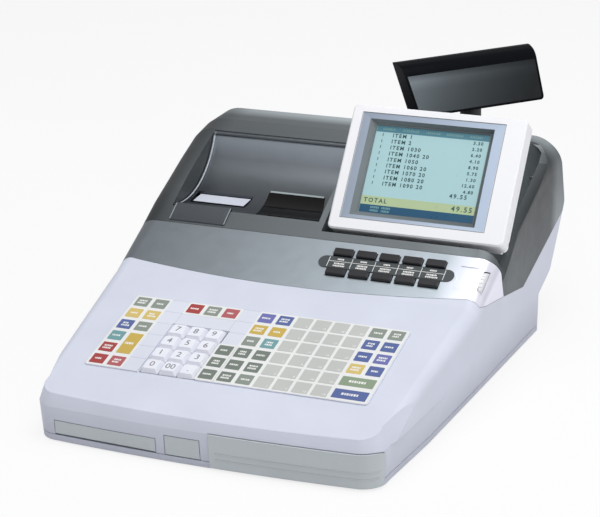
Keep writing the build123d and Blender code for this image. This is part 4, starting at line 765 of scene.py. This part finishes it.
def build_floor():
    """A pale floor that the camera sees nearly white, with the register's shadow on it."""
    bm = bmesh.new()
    bmesh.ops.create_grid(bm, x_segments=1, y_segments=1, size=FLOOR_SIZE)
    mesh = bpy.data.meshes.new("floor")
    bm.to_mesh(mesh)
    bm.free()
    floor = bpy.data.objects.new("floor", mesh)
    bpy.context.scene.collection.objects.link(floor)
    n = Nodes("floor")
    tone = n.mix(n.ranged(n.noise(3.0, 3.0), 0.0, 1.0), FLOOR_DARK, FLOOR_LIGHT)
    n.link(tone, n.shader, "Base Color")
    n.shader.inputs["Roughness"].default_value = FLOOR_ROUGH
    glow = n.add("ShaderNodeEmission", Color=(1, 1, 1, 1), Strength=1.0)
    rays = n.add("ShaderNodeLightPath")
    seen = n.add("ShaderNodeMath", operation="MAXIMUM")
    n.link(rays.outputs["Is Camera Ray"], seen, 0)
    n.link(rays.outputs["Is Transmission Ray"], seen, 1)
    share = n.add("ShaderNodeMath", operation="MULTIPLY")
    n.link(seen.outputs[0], share, 0)
    share.inputs[1].default_value = FLOOR_SEEN_WHITE
    mixed = n.add("ShaderNodeMixShader")
    n.link(share.outputs[0], mixed, 0)
    n.link(n.shader.outputs[0], mixed, 1)
    n.link(glow.outputs[0], mixed, 2)
    n.link(mixed.outputs[0], n.tree.nodes["Material Output"], "Surface")
    mesh.materials.append(n.material)


def lamp(name, spot, size, power):
    """A square lamp that faces the register."""
    light = bpy.data.lights.new(name, "AREA")
    light.shape = "SQUARE"
    light.size = size
    light.energy = power
    made = bpy.data.objects.new(name, light)
    made.location = spot
    made.rotation_euler = (Vector(LIT_SPOT) - Vector(spot)).to_track_quat("-Z", "Y").to_euler()
    bpy.context.scene.collection.objects.link(made)


def build_world():
    """A soft sky that is nearly white where the camera sees it."""
    world = bpy.data.worlds.new("world")
    bpy.context.scene.world = world
    world.use_nodes = True
    sky = world.node_tree
    rays = sky.nodes.new("ShaderNodeLightPath")
    seen = sky.nodes.new("ShaderNodeMath")
    seen.operation = "MAXIMUM"
    sky.links.new(rays.outputs["Is Camera Ray"], seen.inputs[0])
    sky.links.new(rays.outputs["Is Transmission Ray"], seen.inputs[1])
    strength = sky.nodes.new("ShaderNodeMapRange")
    strength.inputs["To Min"].default_value = SKY_LIGHT
    strength.inputs["To Max"].default_value = SKY_SEEN
    sky.links.new(seen.outputs[0], strength.inputs["Value"])
    background = sky.nodes["Background"]
    background.inputs["Color"].default_value = SKY_COLOUR
    sky.links.new(strength.outputs["Result"], background.inputs["Strength"])


# ------------------------------------------------------------------ making
build_camera()
finish_nodes()
build_pads()
build_cells()
build_grid_lines()
build_key_figures()
build_strip_print()
build_picture()
build_liner()
build_lid_edges()
build_floor()
lamp("key", spot=(0.4, -0.4, 2.4), size=2.2, power=48.0)
lamp("right", spot=(2.4, 0.2, 1.1), size=1.4, power=8.0)
build_world()
bpy.context.scene.view_settings.view_transform = "Standard"
